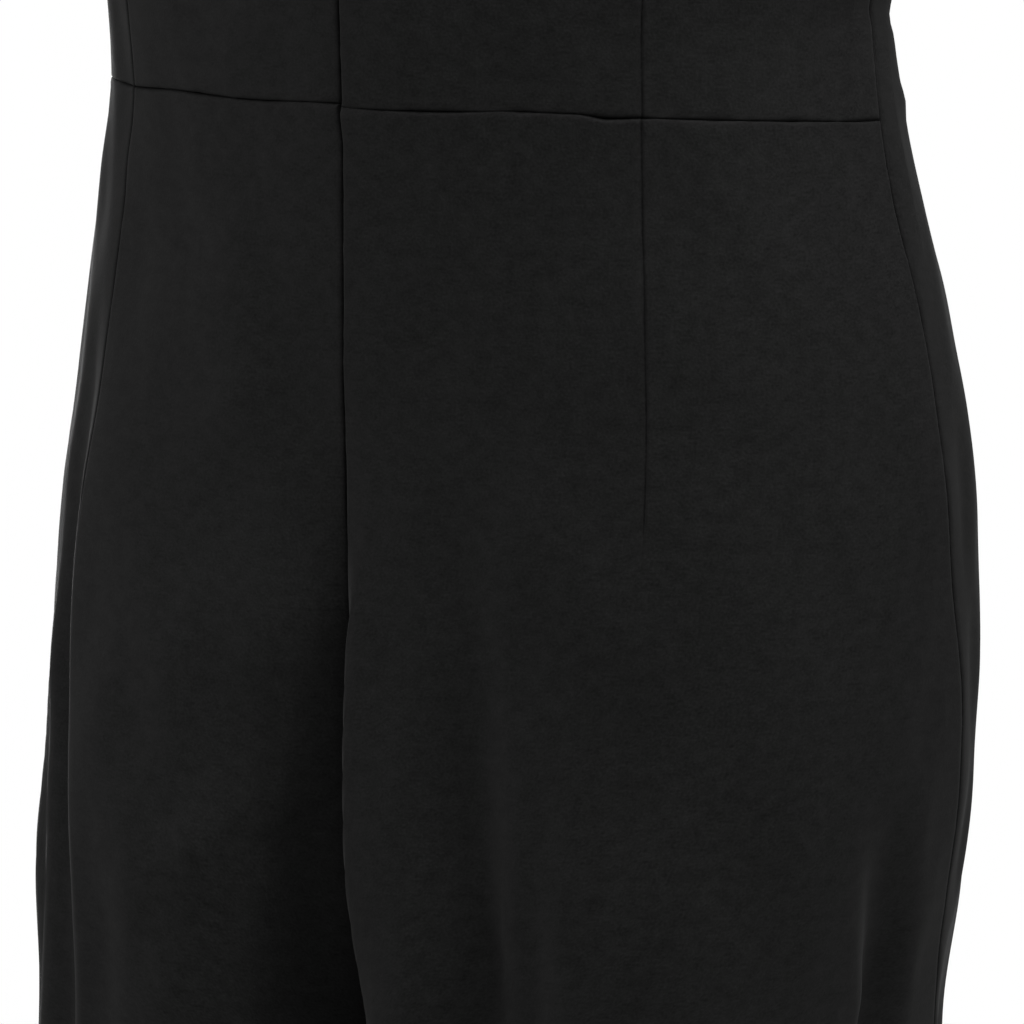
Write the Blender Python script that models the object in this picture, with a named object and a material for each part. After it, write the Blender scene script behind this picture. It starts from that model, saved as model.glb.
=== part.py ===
"""Sleeveless jumpsuit in the hollow shape it has when worn: front panels cut in one, back in bodice and trousers.

Units are metres and degrees, +Z up. The front faces -Y and the wearer's left is +X. The origin lies midway
between the shoulder seams, at the height of their neck ends.

Every cloth panel is a stretch of one surface, cloth(side, turn, level):
  side   +1 is the wearer's left half, -1 the right half
  turn   degrees round the half, from 0 at the centre back (or inseam) to 180 at the centre front
  level  distance below the waist seam; above the chest it runs on along the cloth, over the shoulder
"""

import math
from collections import namedtuple

import bmesh
import bpy
import numpy as np
from mathutils import Matrix, Vector

# Lengths along the body
WAIST_DROP = 0.420
CROTCH_LEVEL = 0.315
HEM_LEVEL = 1.065
CHEST_LEVEL = -0.285
UNDERARM_LEVEL = -0.215
SHOULDER_ARC = 0.120
SHOULDER_LEVEL = CHEST_LEVEL - SHOULDER_ARC * math.pi / 2
SHOULDER_SLOPE = math.tan(math.radians(21.0))
SHOULDER_Y = -0.005
NECK_HALF_WIDTH = 0.070
SHOULDER_TIP_X = 0.160
BACK_NECK_LEVEL = -0.372
FRONT_NECK_LEVEL = -0.318
ARMHOLE_SIDE = (56.0, -0.330)
ARMHOLE_FLOOR = 24.0
ZIP_END_LEVEL = 0.075

# The cloth and its joins
CLOTH = 0.0016
SEAM_GAP = 0.0003
TAPE = 0.0008
NORMAL_TURN = 3.0
NORMAL_LEVEL = 0.004
WAIST_TILT = 0.025
WAIST_TILT_REACH = 0.16

# The trouser halves part below the seat: how far down the cloth starts to run in, at the back and the front
BACK_PARTS_LEVEL = 0.086
FRONT_PARTS_LEVEL = 0.190
OUTSIDE_PARTS_LEVEL = 0.062
BACK_PINCH = 1.4
FRONT_PINCH = 2.0
INNER_FORMS_LEVEL = 0.370
LEG_FORMS_LEVEL = 0.400
INSEAM_TURN = 14.0
RIGHT_INSEAM_TURN = 6.0
MIDDLE_TURN = 26.0
MIDDLE_EASE = 12.0
CREASE_EASE = 6.0
LEG_CORNER = 45.0
LEG_CORNER_EASE = 5.0
INSEAM_SHARE = 0.0012
LEG_OUTER_SQUARENESS = 2.2
LEG_INNER_SQUARENESS = 3.6

# The garment's half-sections. back and front are depths from the middle, and reach the half-widths.
Section = namedtuple("Section", "level back front reach_right reach_left squareness")
SECTIONS = (
    Section(SHOULDER_LEVEL, 0.0900, 0.080, 0.1630, 0.1650, 2.20),
    Section(CHEST_LEVEL, 0.0960, 0.098, 0.1640, 0.1660, 2.25),
    Section(UNDERARM_LEVEL, 0.1000, 0.116, 0.1600, 0.1640, 2.20),
    Section(-0.160, 0.1010, 0.124, 0.1560, 0.1610, 2.10),
    Section(-0.100, 0.0995, 0.115, 0.1440, 0.1520, 2.00),
    Section(-0.035, 0.0965, 0.099, 0.1365, 0.1462, 2.00),
    Section(0.000, 0.0946, 0.096, 0.1430, 0.1440, 2.00),
    Section(0.031, 0.0942, 0.098, 0.1510, 0.1488, 2.00),
    Section(0.064, 0.0940, 0.101, 0.1596, 0.1548, 2.00),
    Section(0.097, 0.0943, 0.104, 0.1657, 0.1598, 2.00),
    Section(0.134, 0.0965, 0.106, 0.1686, 0.1650, 2.00),
    Section(0.178, 0.1015, 0.106, 0.1682, 0.1658, 2.00),
    Section(0.216, 0.1060, 0.105, 0.1660, 0.1636, 2.00),
    Section(0.257, 0.1105, 0.104, 0.1593, 0.1600, 2.00),
    Section(0.304, 0.1115, 0.103, 0.1488, 0.1550, 2.00),
    Section(0.360, 0.1110, 0.103, 0.1445, 0.1530, 2.00),
    Section(0.600, 0.1050, 0.099, 0.1430, 0.1510, 2.00),
    Section(HEM_LEVEL, 0.1030, 0.097, 0.1460, 0.1520, 2.00),
)

# How far each leg's inner side stands from the middle
LegGap = namedtuple("LegGap", "level gap")
LEG_GAPS = (
    LegGap(CROTCH_LEVEL, 0.0),
    LegGap(0.420, 0.003),
    LegGap(0.640, 0.009),
    LegGap(HEM_LEVEL, 0.014),
)

# Where the side seam and the back waist darts run
SeamPoint = namedtuple("SeamPoint", "level turn")
SIDE_SEAM = (
    SeamPoint(UNDERARM_LEVEL, 95.0),
    SeamPoint(-0.035, 96.0),
    SeamPoint(0.000, 92.0),
    SeamPoint(0.031, 90.6),
    SeamPoint(0.130, 92.2),
    SeamPoint(0.188, 97.5),
    SeamPoint(0.216, 99.5),
    SeamPoint(0.267, 104.2),
    SeamPoint(0.304, 111.0),
    SeamPoint(0.336, 114.4),
    SeamPoint(0.400, 114.4),
    SeamPoint(0.600, 107.0),
    SeamPoint(HEM_LEVEL, 97.0),
)

# The valley's edges, where the cloth turns in towards the centre seam, and how round it turns there
LEFT_VALLEY = (
    SeamPoint(0.062, 2.5),
    SeamPoint(0.112, 3.0),
    SeamPoint(0.159, 4.2),
    SeamPoint(0.192, 6.8),
    SeamPoint(0.224, 10.0),
    SeamPoint(0.257, 12.8),
    SeamPoint(0.296, 14.6),
    SeamPoint(0.480, 16.0),
)
RIGHT_VALLEY = (SeamPoint(0.062, 2.5), SeamPoint(0.480, 3.5))
VALLEY_ROLL = 0.002

# Lines that folds follow. The left half's sharpest crease runs on from its waist dart.
LEFT_CREASE = (
    (0.000, 48.2), (0.022, 48.6), (0.039, 47.5), (0.075, 46.8), (0.112, 44.2), (0.156, 42.5), (0.178, 41.3),
    (0.217, 38.2), (0.255, 35.2), (0.304, 33.6), (0.600, 32.0),
)  # fmt: skip
LEFT_SHADOW = ((0.160, 4.0), (0.192, 8.2), (0.225, 10.2), (0.242, 12.2), (0.296, 14.0))
RIGHT_HOLLOW = ((0.084, 10.0), (0.118, 15.0), (0.156, 19.2), (0.204, 22.5), (0.289, 26.5))


def beside(path, turn):
    return tuple((level, at + turn) for level, at in path)


# Folds: rise is how far out the cloth stands (in, if negative), spread its half-width in degrees of turn,
# start and end the levels where it has faded away, path the way that it runs.
Fold = namedtuple("Fold", "side rise spread start end path")
FOLD_FADE = 0.3
FOLDS = (
    # the seat
    Fold(-1, 0.0015, 36.0, 0.030, 0.420, ((0.100, 32.0), (0.304, 28.0))),
    Fold(1, 0.0104, 36.0, 0.030, 0.420, ((0.100, 32.0), (0.304, 28.0))),
    # right back, from the centre seam outwards
    Fold(-1, -0.0086, 9.0, 0.045, 0.960, beside(RIGHT_HOLLOW, 2.8)),
    Fold(-1, -0.0078, 20.0, 0.100, 0.960, beside(RIGHT_HOLLOW, -2.5)),
    Fold(-1, 0.0048, 9.0, 0.170, 0.700, ((0.221, 12.5), (0.285, 15.5), (0.700, 13.0))),
    Fold(-1, 0.0027, 7.0, 0.150, 0.600, ((0.200, 29.0), (0.304, 31.0), (0.600, 34.0))),
    Fold(-1, -0.0122, 8.0, 0.150, 0.780, ((0.199, 30.0), (0.287, 34.2), (0.780, 41.0))),
    Fold(-1, -0.0029, 8.0, 0.200, 0.640, ((0.244, 84.0), (0.296, 93.5), (0.640, 88.0))),
    # left back
    Fold(1, 0.0017, 5.5, 0.010, 0.640, LEFT_CREASE),
    Fold(1, -0.0077, 6.0, 0.040, 0.740, beside(LEFT_CREASE, 5.5)),
    Fold(1, 0.0022, 9.0, 0.070, 0.200, ((0.120, 17.0), (0.146, 16.2))),
    Fold(1, 0.0032, 8.0, 0.130, 0.700, ((0.171, 23.0), (0.229, 17.8), (0.264, 23.5), (0.700, 27.0))),
    Fold(1, 0.0029, 6.0, 0.120, 0.640, beside(LEFT_SHADOW, 5.0)),
    Fold(1, -0.0060, 8.0, 0.110, 0.360, beside(LEFT_SHADOW, -4.8)),
    # flutes of the wide hems
    Fold(-1, 0.0050, 13.0, 0.480, 1.300, ((0.480, 24.0), (HEM_LEVEL, 22.0))),
    Fold(-1, -0.0038, 13.0, 0.440, 1.300, ((0.440, 52.0), (HEM_LEVEL, 47.0))),
    Fold(-1, 0.0050, 14.0, 0.520, 1.300, ((0.520, 80.0), (HEM_LEVEL, 74.0))),
    Fold(-1, -0.0045, 13.0, 0.560, 1.300, ((0.560, 112.0), (HEM_LEVEL, 108.0))),
    Fold(-1, -0.0040, 11.0, 0.620, 1.300, ((0.620, 158.0), (HEM_LEVEL, 154.0))),
    Fold(1, 0.0045, 12.0, 0.520, 1.300, ((0.520, 20.0), (HEM_LEVEL, 18.0))),
    Fold(1, -0.0055, 14.0, 0.460, 1.300, ((0.460, 60.0), (HEM_LEVEL, 55.0))),
    Fold(1, 0.0050, 13.0, 0.560, 1.300, ((0.560, 90.0), (HEM_LEVEL, 84.0))),
    Fold(1, -0.0045, 12.0, 0.600, 1.300, ((0.600, 120.0), (HEM_LEVEL, 116.0))),
    Fold(1, -0.0035, 10.0, 0.660, 1.300, ((0.660, 160.0), (HEM_LEVEL, 157.0))),
)

# Grids of the solids: levels of the trouser rows, and turns as shares from the centre seam to the side seam
TROUSER_LEVELS = (
    0.0, 0.025, 0.050, 0.075, 0.100, 0.125, 0.150, 0.175, 0.198, 0.220, 0.240, 0.258, 0.274, 0.288,
    0.299, 0.307, 0.312, CROTCH_LEVEL, 0.330, 0.360, 0.410, 0.480, 0.570, 0.680, 0.800, 0.930, HEM_LEVEL,
)  # fmt: skip
BACK_SHARES = (
    0.0, 0.016, 0.034, 0.056, 0.085, 0.120, 0.160, 0.205, 0.250, 0.295, 0.335, 0.370, 0.405, 0.440, 0.475, 0.510,
    0.550, 0.595, 0.650, 0.720, 0.800, 0.870, 0.935, 1.0,
)  # fmt: skip
FRONT_SHARES = (0.0, 0.020, 0.045, 0.080, 0.130, 0.200, 0.290, 0.400, 0.520, 0.650, 0.780, 0.890, 1.0)
BODICE_SHARES = (0.0, 0.034, 0.085, 0.160, 0.250, 0.350, 0.460, 0.570, 0.680, 0.790, 0.895, 1.0)
TAPE_SHARES = (0.0, 0.034, 0.085)

# The bodice's rows run from the waist, 0, to the shoulder seam, 1
NECK_CORNER = 0.70
UNDERARM_CORNER = 0.50
BODICE_ROWS = (
    0.0, 0.08, 0.16, 0.24, 0.32, 0.41, UNDERARM_CORNER, 0.56, 0.63, NECK_CORNER, 0.76, 0.82, 0.88, 0.94, 1.0,
)  # fmt: skip

# The zip's metal: the slider lies on the cloth at the top of the centre back, and the pull hangs from its bridge
SLIDER_BELOW_NECK = 0.012
SLIDER_LENGTH = 0.011
SLIDER_WIDTH = 0.007
SLIDER_THICKNESS = 0.0016
SLIDER_CORNER = 0.0018
BRIDGE_LENGTH = 0.0092
BRIDGE_WIDTH = 0.0018
BRIDGE_HEIGHT = 0.0027
BRIDGE_WALL = 0.0009
BRIDGE_SPRING = 0.55
BRIDGE_ROOF_SHARE = 0.72
PULL_LENGTH = 0.024
PULL_WIDTH = 0.0056
PULL_THICKNESS = 0.0011
PULL_EYE_WIDTH = 0.0028
PULL_EYE_LENGTH = 0.0062

# The pull's right edge, from its top down: half-width as a share of half the pull's width, and drop as a share of
# its length
PullEdge = namedtuple("PullEdge", "width drop")
PULL_EDGE = (
    PullEdge(0.79, -0.023),
    PullEdge(1.00, 0.010),
    PullEdge(1.00, 0.281),
    PullEdge(0.72, 0.373),
    PullEdge(0.79, 0.625),
    PullEdge(0.95, 0.854),
    PullEdge(0.93, 0.900),
    PullEdge(0.62, 0.975),
    PullEdge(0.00, 1.000),
)


def along(rows, column, at):
    """A table's column at any level, on a smooth curve that never overshoots its rows."""
    knots = np.array([row[0] for row in rows])
    values = np.array([getattr(row, column) for row in rows])
    steps = np.diff(knots)
    slopes = np.diff(values) / steps
    product = slopes[:-1] * slopes[1:]
    total = np.where(product > 0, slopes[:-1] + slopes[1:], 1.0)
    inner = np.where(product > 0, 2 * product / total, 0.0)
    tangents = np.concatenate([slopes[:1], inner, slopes[-1:]])
    at = np.clip(at, knots[0], knots[-1])
    cell = np.clip(np.searchsorted(knots, at, side="right") - 1, 0, len(steps) - 1)
    share = (at - knots[cell]) / steps[cell]
    rest = 1 - share
    ends = values[cell] * (1 + 2 * share) * rest**2 + values[cell + 1] * (3 - 2 * share) * share**2
    return ends + steps[cell] * share * rest * (tangents[cell] * rest - tangents[cell + 1] * share)


def ease(low, high, at):
    """0 below low, 1 above high, and smooth between."""
    share = np.clip((at - low) / (high - low), 0, 1)
    return share * share * (3 - 2 * share)


def pinch(start, power, width, level, from_seam):
    """How far the trouser half has closed: fast at its seam, and more gently beside it."""
    share = np.clip((level - start) / (CROTCH_LEVEL - start), 0, 1)
    at_seam = 1 - ease(0, width, from_seam)
    return (1 - np.sqrt(1 - share**power)) * at_seam + ease(start, INNER_FORMS_LEVEL, level) ** 4 * (1 - at_seam)


def leg_share(side, turn, level):
    """How far the half-section has become a leg. It closes fast near the middle, and slowly round the outside."""
    from_seam = np.minimum(turn, 180 - turn)
    width = INSEAM_TURN if side > 0 else RIGHT_INSEAM_TURN
    inner = np.where(
        turn < 90,
        pinch(BACK_PARTS_LEVEL, BACK_PINCH, width, level, from_seam),
        pinch(FRONT_PARTS_LEVEL, FRONT_PINCH, INSEAM_TURN, level, from_seam),
    )
    outer = ease(OUTSIDE_PARTS_LEVEL, LEG_FORMS_LEVEL, level)
    near = 1 - ease(0, MIDDLE_TURN, from_seam)
    return inner * near + outer * (1 - near)


def reach(side, level):
    return along(SECTIONS, "reach_left" if side > 0 else "reach_right", level)


def half_ring(side, turn, level):
    """The half-section round the body: (out, back) from the middle."""
    from_seam = np.minimum(turn, 180 - turn)
    eased = np.hypot(from_seam, CREASE_EASE) - CREASE_EASE
    angle = np.radians(eased * 90 / (math.hypot(90, CREASE_EASE) - CREASE_EASE))
    power = 2 / along(SECTIONS, "squareness", level)
    depth = np.where(turn < 90, along(SECTIONS, "back", level), -along(SECTIONS, "front", level))
    return reach(side, level) * np.sin(angle) ** power, depth * np.maximum(np.cos(angle), 0) ** power


def leg_ring(side, turn, level):
    """The closed section of one leg, from its inseam round the back and the front to its inseam."""
    from_seam = np.minimum(turn, 180 - turn)
    corner = LEG_CORNER * (1 - np.exp(-from_seam / LEG_CORNER_EASE))
    angle = 180 * (1 - INSEAM_SHARE) - (180 - LEG_CORNER) * from_seam / 90 - corner
    angle = np.radians(np.maximum(angle, 0))
    gap = along(LEG_GAPS, "gap", level)
    width = (reach(side, level) - gap) / 2
    back = along(SECTIONS, "back", level)
    front = along(SECTIONS, "front", level)
    depth = (back + front) / 2
    inner = ease(-0.3, 0.6, -np.cos(angle))
    power = LEG_OUTER_SQUARENESS + (LEG_INNER_SQUARENESS - LEG_OUTER_SQUARENESS) * inner
    across = np.abs(np.cos(angle)) / width
    behind = np.abs(np.sin(angle)) / depth
    radius = (across**power + behind**power) ** (-1 / power)
    sign = np.where(turn < 90, 1, -1)
    return gap + width + radius * np.cos(angle), (back - front) / 2 + sign * radius * np.sin(angle)


def section(side, turn, level):
    """The half-section as it closes to a leg: (out, back) from the middle."""
    out, back = half_ring(side, turn, level)
    leg_out, leg_back = leg_ring(side, turn, level)
    closed = leg_share(side, turn, level)
    return out * (1 - closed) + leg_out * closed, back * (1 - closed) + leg_back * closed


def with_valley(side, turn, level, back):
    """The depth once the cloth runs straight from the valley's edge down to the seam."""
    edge = along(LEFT_VALLEY if side > 0 else RIGHT_VALLEY, "turn", level)
    at_seam = section(side, np.zeros_like(edge), level)[1]
    at_edge = section(side, edge, level)[1]
    share = turn / edge
    wall = at_seam + (at_edge - at_seam) * share
    roll = VALLEY_ROLL * np.clip(share, 0, 1) * ease(0.07, 0.13, level)
    lower = (wall + back - np.sqrt((wall - back) ** 2 + roll**2)) / 2
    held = ease(0.045, 0.075, level) * (1 - ease(0.330, 0.480, level)) * (turn < 60)
    return back + (lower - back) * held


def smooth_cloth(side, turn, level):
    """The surface without its folds, as an array of points."""
    turn, level = np.broadcast_arrays(turn, level)
    out, back = section(side, turn, level)
    back = with_valley(side, turn, level, back)
    lift = np.clip((CHEST_LEVEL - level) / SHOULDER_ARC, 0, math.pi / 2)
    chest_z = -(WAIST_DROP + CHEST_LEVEL)
    shoulder_z = SHOULDER_SLOPE * (NECK_HALF_WIDTH - out)
    z = np.where(lift > 0, chest_z + (shoulder_z - chest_z) * np.sin(lift), -(WAIST_DROP + level))
    z = z + WAIST_TILT * side * out * np.exp(-((level / WAIST_TILT_REACH) ** 2))
    back = SHOULDER_Y + (back - SHOULDER_Y) * np.cos(lift)
    return np.stack([side * (out + SEAM_GAP / 2), back, z], axis=-1)


def directions(surface, side, turn, level):
    """Unit vectors out of the surface. At the middle and on the shoulder none leans over the seam there."""
    before, after = np.clip(turn - NORMAL_TURN, 0, 180), np.clip(turn + NORMAL_TURN, 0, 180)
    above = np.maximum(level - NORMAL_LEVEL, SHOULDER_LEVEL)
    below = np.minimum(level + NORMAL_LEVEL, HEM_LEVEL)
    round_it = surface(side, after, level) - surface(side, before, level)
    down = surface(side, turn, below) - surface(side, turn, above)
    normal = np.cross(round_it, down) * side
    at_middle = (turn < 0.5) | (turn > 179.5)
    normal[..., 0] = np.where(at_middle, side * np.minimum(side * normal[..., 0], 0), normal[..., 0])
    normal[..., 1] = np.where(level < SHOULDER_LEVEL + 0.001, 0, normal[..., 1])
    return normal / np.linalg.norm(normal, axis=-1, keepdims=True)


def fold_rise(side, turn, level):
    total = np.zeros(np.broadcast(turn, level).shape)
    for fold in FOLDS:
        if fold.side != side:
            continue
        path = [SeamPoint(*point) for point in fold.path]
        away = np.clip((turn - along(path, "turn", level)) / fold.spread, -1, 1)
        fade = (fold.end - fold.start) * FOLD_FADE
        strength = ease(fold.start, fold.start + fade, level) * (1 - ease(fold.end - fade, fold.end, level))
        total = total + fold.rise * strength * np.cos(away * math.pi / 2) ** 2
    return total * ease(0, MIDDLE_EASE, np.minimum(turn, 180 - turn))


def cloth(side, turn, level):
    """The outer surface of the cloth."""
    out = directions(smooth_cloth, side, turn, level)
    points = smooth_cloth(side, turn, level) + out * fold_rise(side, turn, level)[..., None]
    points[..., 0] = side * np.maximum(side * points[..., 0], SEAM_GAP / 2)
    return points


def side_seam(level):
    return along(SIDE_SEAM, "turn", level)


def seam_allowance(side, turn, level):
    """Half a seam's gap, in degrees of turn."""
    ahead = cloth(side, turn + 0.5, level) - cloth(side, turn - 0.5, level)
    return SEAM_GAP / 2 / np.linalg.norm(ahead, axis=-1)


def bezier(points, share):
    """A cubic curve through the first and last of four points, as an array."""
    share = share[:, None]
    rest = 1 - share
    a, b, c, d = (np.array(point) for point in points)
    return a * rest**3 + 3 * b * share * rest**2 + 3 * c * share**2 * rest + d * share**3


def turn_of_out(side, out, level):
    """The turn at which the half-section above the waist is this far out."""
    power = along(SECTIONS, "squareness", level) / 2
    angle = float(np.degrees(np.arcsin((out / reach(side, level)) ** power)))
    eased = angle * (math.hypot(90, CREASE_EASE) - CREASE_EASE) / 90
    return math.sqrt((eased + CREASE_EASE) ** 2 - CREASE_EASE**2)


def bodice_grid(side, is_front, rows, shares):
    """(turn, level) of a bodice half from the waist up: centre line and neckline to side seam and armhole."""
    share = np.array(rows)
    top = SHOULDER_LEVEL + SEAM_GAP
    neck_level = FRONT_NECK_LEVEL if is_front else BACK_NECK_LEVEL
    neck_turn = turn_of_out(side, NECK_HALF_WIDTH, SHOULDER_LEVEL)
    tip_turn = turn_of_out(side, SHOULDER_TIP_X, SHOULDER_LEVEL)
    up = np.clip(share / NECK_CORNER, 0, 1)
    round_neck = np.radians(90 * np.clip((share - NECK_CORNER) / (1 - NECK_CORNER), 0, 1))
    middle_level = np.where(share < NECK_CORNER, up * neck_level, top + (neck_level - top) * np.cos(round_neck))
    middle_turn = neck_turn * np.sin(round_neck)
    outer_level = np.clip(share / UNDERARM_CORNER, 0, 1) * UNDERARM_LEVEL
    outer_turn = side_seam(outer_level)
    if is_front:
        outer_turn = 180 - outer_turn
    underarm_turn = float(outer_turn[-1])
    round_arm = np.clip((share - UNDERARM_CORNER) / (1 - UNDERARM_CORNER), 0, 1)
    armhole = bezier(
        (
            (underarm_turn, UNDERARM_LEVEL),
            (underarm_turn - ARMHOLE_FLOOR, UNDERARM_LEVEL),
            ARMHOLE_SIDE,
            (tip_turn, top),
        ),
        round_arm,
    )
    at_armhole = share > UNDERARM_CORNER
    outer_level = np.where(at_armhole, armhole[:, 1], outer_level)
    outer_turn = np.where(at_armhole, armhole[:, 0], outer_turn)
    mix = np.array(shares)[None, :]
    turn = middle_turn[:, None] * (1 - mix) + outer_turn[:, None] * mix
    level = middle_level[:, None] * (1 - mix) + outer_level[:, None] * mix
    if is_front:
        turn = 180 - turn
    level[0] -= SEAM_GAP / 2
    return turn, level


def trouser_grid(is_front, levels, shares):
    """(turn, level) of a trouser half from the waist down: centre seam and inseam to side seam."""
    mix = np.array(shares)[None, :]
    level = np.array(levels)[:, None] + 0 * mix
    outer = side_seam(level)
    turn = 180 - (180 - outer) * mix if is_front else outer * mix
    level[0] += SEAM_GAP / 2
    return turn, level


def open_seams(side, is_front, turn, level):
    """Draws the side edge back by half a seam's gap."""
    gap = seam_allowance(side, turn[:, -1], level[:, -1])
    turn = turn.copy()
    turn[:, -1] += gap if is_front else -gap
    return turn


def layers(side, turn, level, outer, inner):
    """Two grids of points, this far inside the cloth's outer surface."""
    points = cloth(side, turn, level)
    out = directions(cloth, side, turn, level)
    return points - out * outer, points - out * inner


def shell(name, outer, inner, material):
    """A closed wall between two grids of points, as one object."""
    rows, columns = outer.shape[:2]
    mesh = bmesh.new()
    sheets = [[mesh.verts.new(point) for point in grid.reshape(-1, 3)] for grid in (outer, inner)]
    rim = [(0, c) for c in range(columns - 1)]
    rim += [(r, columns - 1) for r in range(rows - 1)]
    rim += [(rows - 1, c) for c in range(columns - 1, 0, -1)]
    rim += [(r, 0) for r in range(rows - 1, 0, -1)]
    for sheet in sheets:
        for r in range(rows - 1):
            for c in range(columns - 1):
                a, b = sheet[r * columns + c], sheet[r * columns + c + 1]
                d, e = sheet[(r + 1) * columns + c], sheet[(r + 1) * columns + c + 1]
                mesh.faces.new((a, b, e))
                mesh.faces.new((a, e, d))
    for here, there in zip(rim, rim[1:] + rim[:1], strict=True):
        a, b = (sheets[0][r * columns + c] for r, c in (here, there))
        d, e = (sheets[1][r * columns + c] for r, c in (here, there))
        mesh.faces.new((a, b, e))
        mesh.faces.new((a, e, d))
    return finish(name, mesh, material)


def finish(name, mesh, material):
    """Makes the object, with its faces pointing out and its edges smooth."""
    bmesh.ops.recalc_face_normals(mesh, faces=mesh.faces)
    data = bpy.data.meshes.new(name)
    mesh.to_mesh(data)
    mesh.free()
    data.shade_smooth()
    data.set_sharp_from_angle(angle=math.radians(40))
    data.materials.append(material)
    obj = bpy.data.objects.new(name, data)
    bpy.context.scene.collection.objects.link(obj)
    return obj


def material(name, colour, roughness, metallic):
    made = bpy.data.materials.new(name)
    made.use_nodes = True
    shader = made.node_tree.nodes["Principled BSDF"]
    shader.inputs["Base Color"].default_value = (*colour, 1)
    shader.inputs["Roughness"].default_value = roughness
    shader.inputs["Metallic"].default_value = metallic
    return made


def front(side, fabric):
    """A front half, cut in one from the shoulder to the hem, as two solids that meet at the waist."""
    upper = bodice_grid(side, True, BODICE_ROWS, FRONT_SHARES)
    lower = trouser_grid(True, TROUSER_LEVELS, FRONT_SHARES)
    for part, (turn, level) in (("upper", upper), ("lower", lower)):
        turn = open_seams(side, True, turn, level)
        shell(f"front_{part}_{name_of(side)}", *layers(side, turn, level, 0, CLOTH), fabric)


def bodice_back(side, fabric):
    turn, level = bodice_grid(side, False, BODICE_ROWS, BODICE_SHARES)
    turn = open_seams(side, False, turn, level)
    return shell(f"bodice_back_{name_of(side)}", *layers(side, turn, level, 0, CLOTH), fabric)


def trouser_back(side, fabric):
    turn, level = trouser_grid(False, TROUSER_LEVELS, BACK_SHARES)
    turn = open_seams(side, False, turn, level)
    return shell(f"trouser_back_{name_of(side)}", *layers(side, turn, level, 0, CLOTH), fabric)


def zip_tape(side, fabric):
    """The zip's tape on one side, inside the backs, on the same rows as they are."""
    upper = bodice_grid(side, False, [row for row in BODICE_ROWS if row <= NECK_CORNER], TAPE_SHARES)
    lower = trouser_grid(False, [level for level in TROUSER_LEVELS if level <= ZIP_END_LEVEL], TAPE_SHARES)
    turn, level = (np.concatenate([up[::-1], down]) for up, down in zip(upper, lower, strict=True))
    inside = CLOTH + SEAM_GAP
    return shell(f"zip_tape_{name_of(side)}", *layers(side, turn, level, inside, inside + TAPE), fabric)


def name_of(side):
    return "left" if side > 0 else "right"


def zip_frame():
    """The place of the slider: on the cloth at the centre back, Z up along the zip and Y out of the cloth."""
    level = BACK_NECK_LEVEL + SLIDER_BELOW_NECK
    turn = np.array([1.0])
    here = cloth(1, turn, np.array([level]))[0]
    up = cloth(1, turn, np.array([level - 0.003]))[0] - cloth(1, turn, np.array([level + 0.003]))[0]
    up = Vector((0, up[1], up[2])).normalized()
    out = Vector((0, up.z, -up.y))
    frame = Matrix((Vector((1, 0, 0)), out, up)).transposed().to_4x4()
    frame.translation = Vector((0, here[1], here[2])) + out * SEAM_GAP
    return frame


def block(mesh, low, high):
    """Adds a box between two corners."""
    low, high = Vector(low), Vector(high)
    place = Matrix.Translation((low + high) / 2) @ Matrix.Diagonal((*(high - low), 1))
    return bmesh.ops.create_cube(mesh, size=1, matrix=place)["verts"]


def zip_slider(frame, metal):
    """A rounded plate on the cloth with a bridge over its middle."""
    mesh = bmesh.new()
    half = SLIDER_LENGTH / 2
    block(mesh, (-SLIDER_WIDTH / 2, 0, -half), (SLIDER_WIDTH / 2, SLIDER_THICKNESS, half))
    corners = [e for e in mesh.edges if abs(e.verts[0].co.y - e.verts[1].co.y) > SLIDER_THICKNESS / 2]
    bmesh.ops.bevel(mesh, geom=corners, offset=SLIDER_CORNER, segments=3, affect="EDGES", profile=0.5)
    plate = finish("zip_slider", mesh, metal)
    half = BRIDGE_WIDTH / 2
    bridge = prism("zip_bridge", [(-half, y, z) for y, z in bridge_profile()], (BRIDGE_WIDTH, 0, 0), metal)
    bridge.hide_render = True
    bridge.display_type = "WIRE"
    union = plate.modifiers.new("bridge", "BOOLEAN")
    union.operation = "UNION"
    union.object = bridge
    plate.matrix_world = frame
    bridge.matrix_world = frame
    return plate


def bridge_profile():
    """The bridge's side view: two feet sunk in the plate and an arch between them, as a closed line of (y, z)."""
    half = BRIDGE_LENGTH / 2
    inner = half - BRIDGE_WALL
    foot = SLIDER_THICKNESS / 2
    spring = SLIDER_THICKNESS + BRIDGE_HEIGHT * BRIDGE_SPRING
    top = SLIDER_THICKNESS + BRIDGE_HEIGHT
    roof = top - BRIDGE_WALL
    shoulder = inner * BRIDGE_ROOF_SHARE
    outer_line = [(foot, -half), (spring, -half), (top, -shoulder), (top, shoulder), (spring, half), (foot, half)]
    inner_line = [(foot, inner), (spring, inner), (roof, shoulder), (roof, -shoulder), (spring, -inner)]
    return outer_line + inner_line + [(foot, -inner)]


def pull_axis_out():
    """How far out of the slider's seat the pull turns: in the middle of the bridge's window."""
    return SLIDER_THICKNESS + (BRIDGE_HEIGHT - BRIDGE_WALL) / 2


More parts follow.
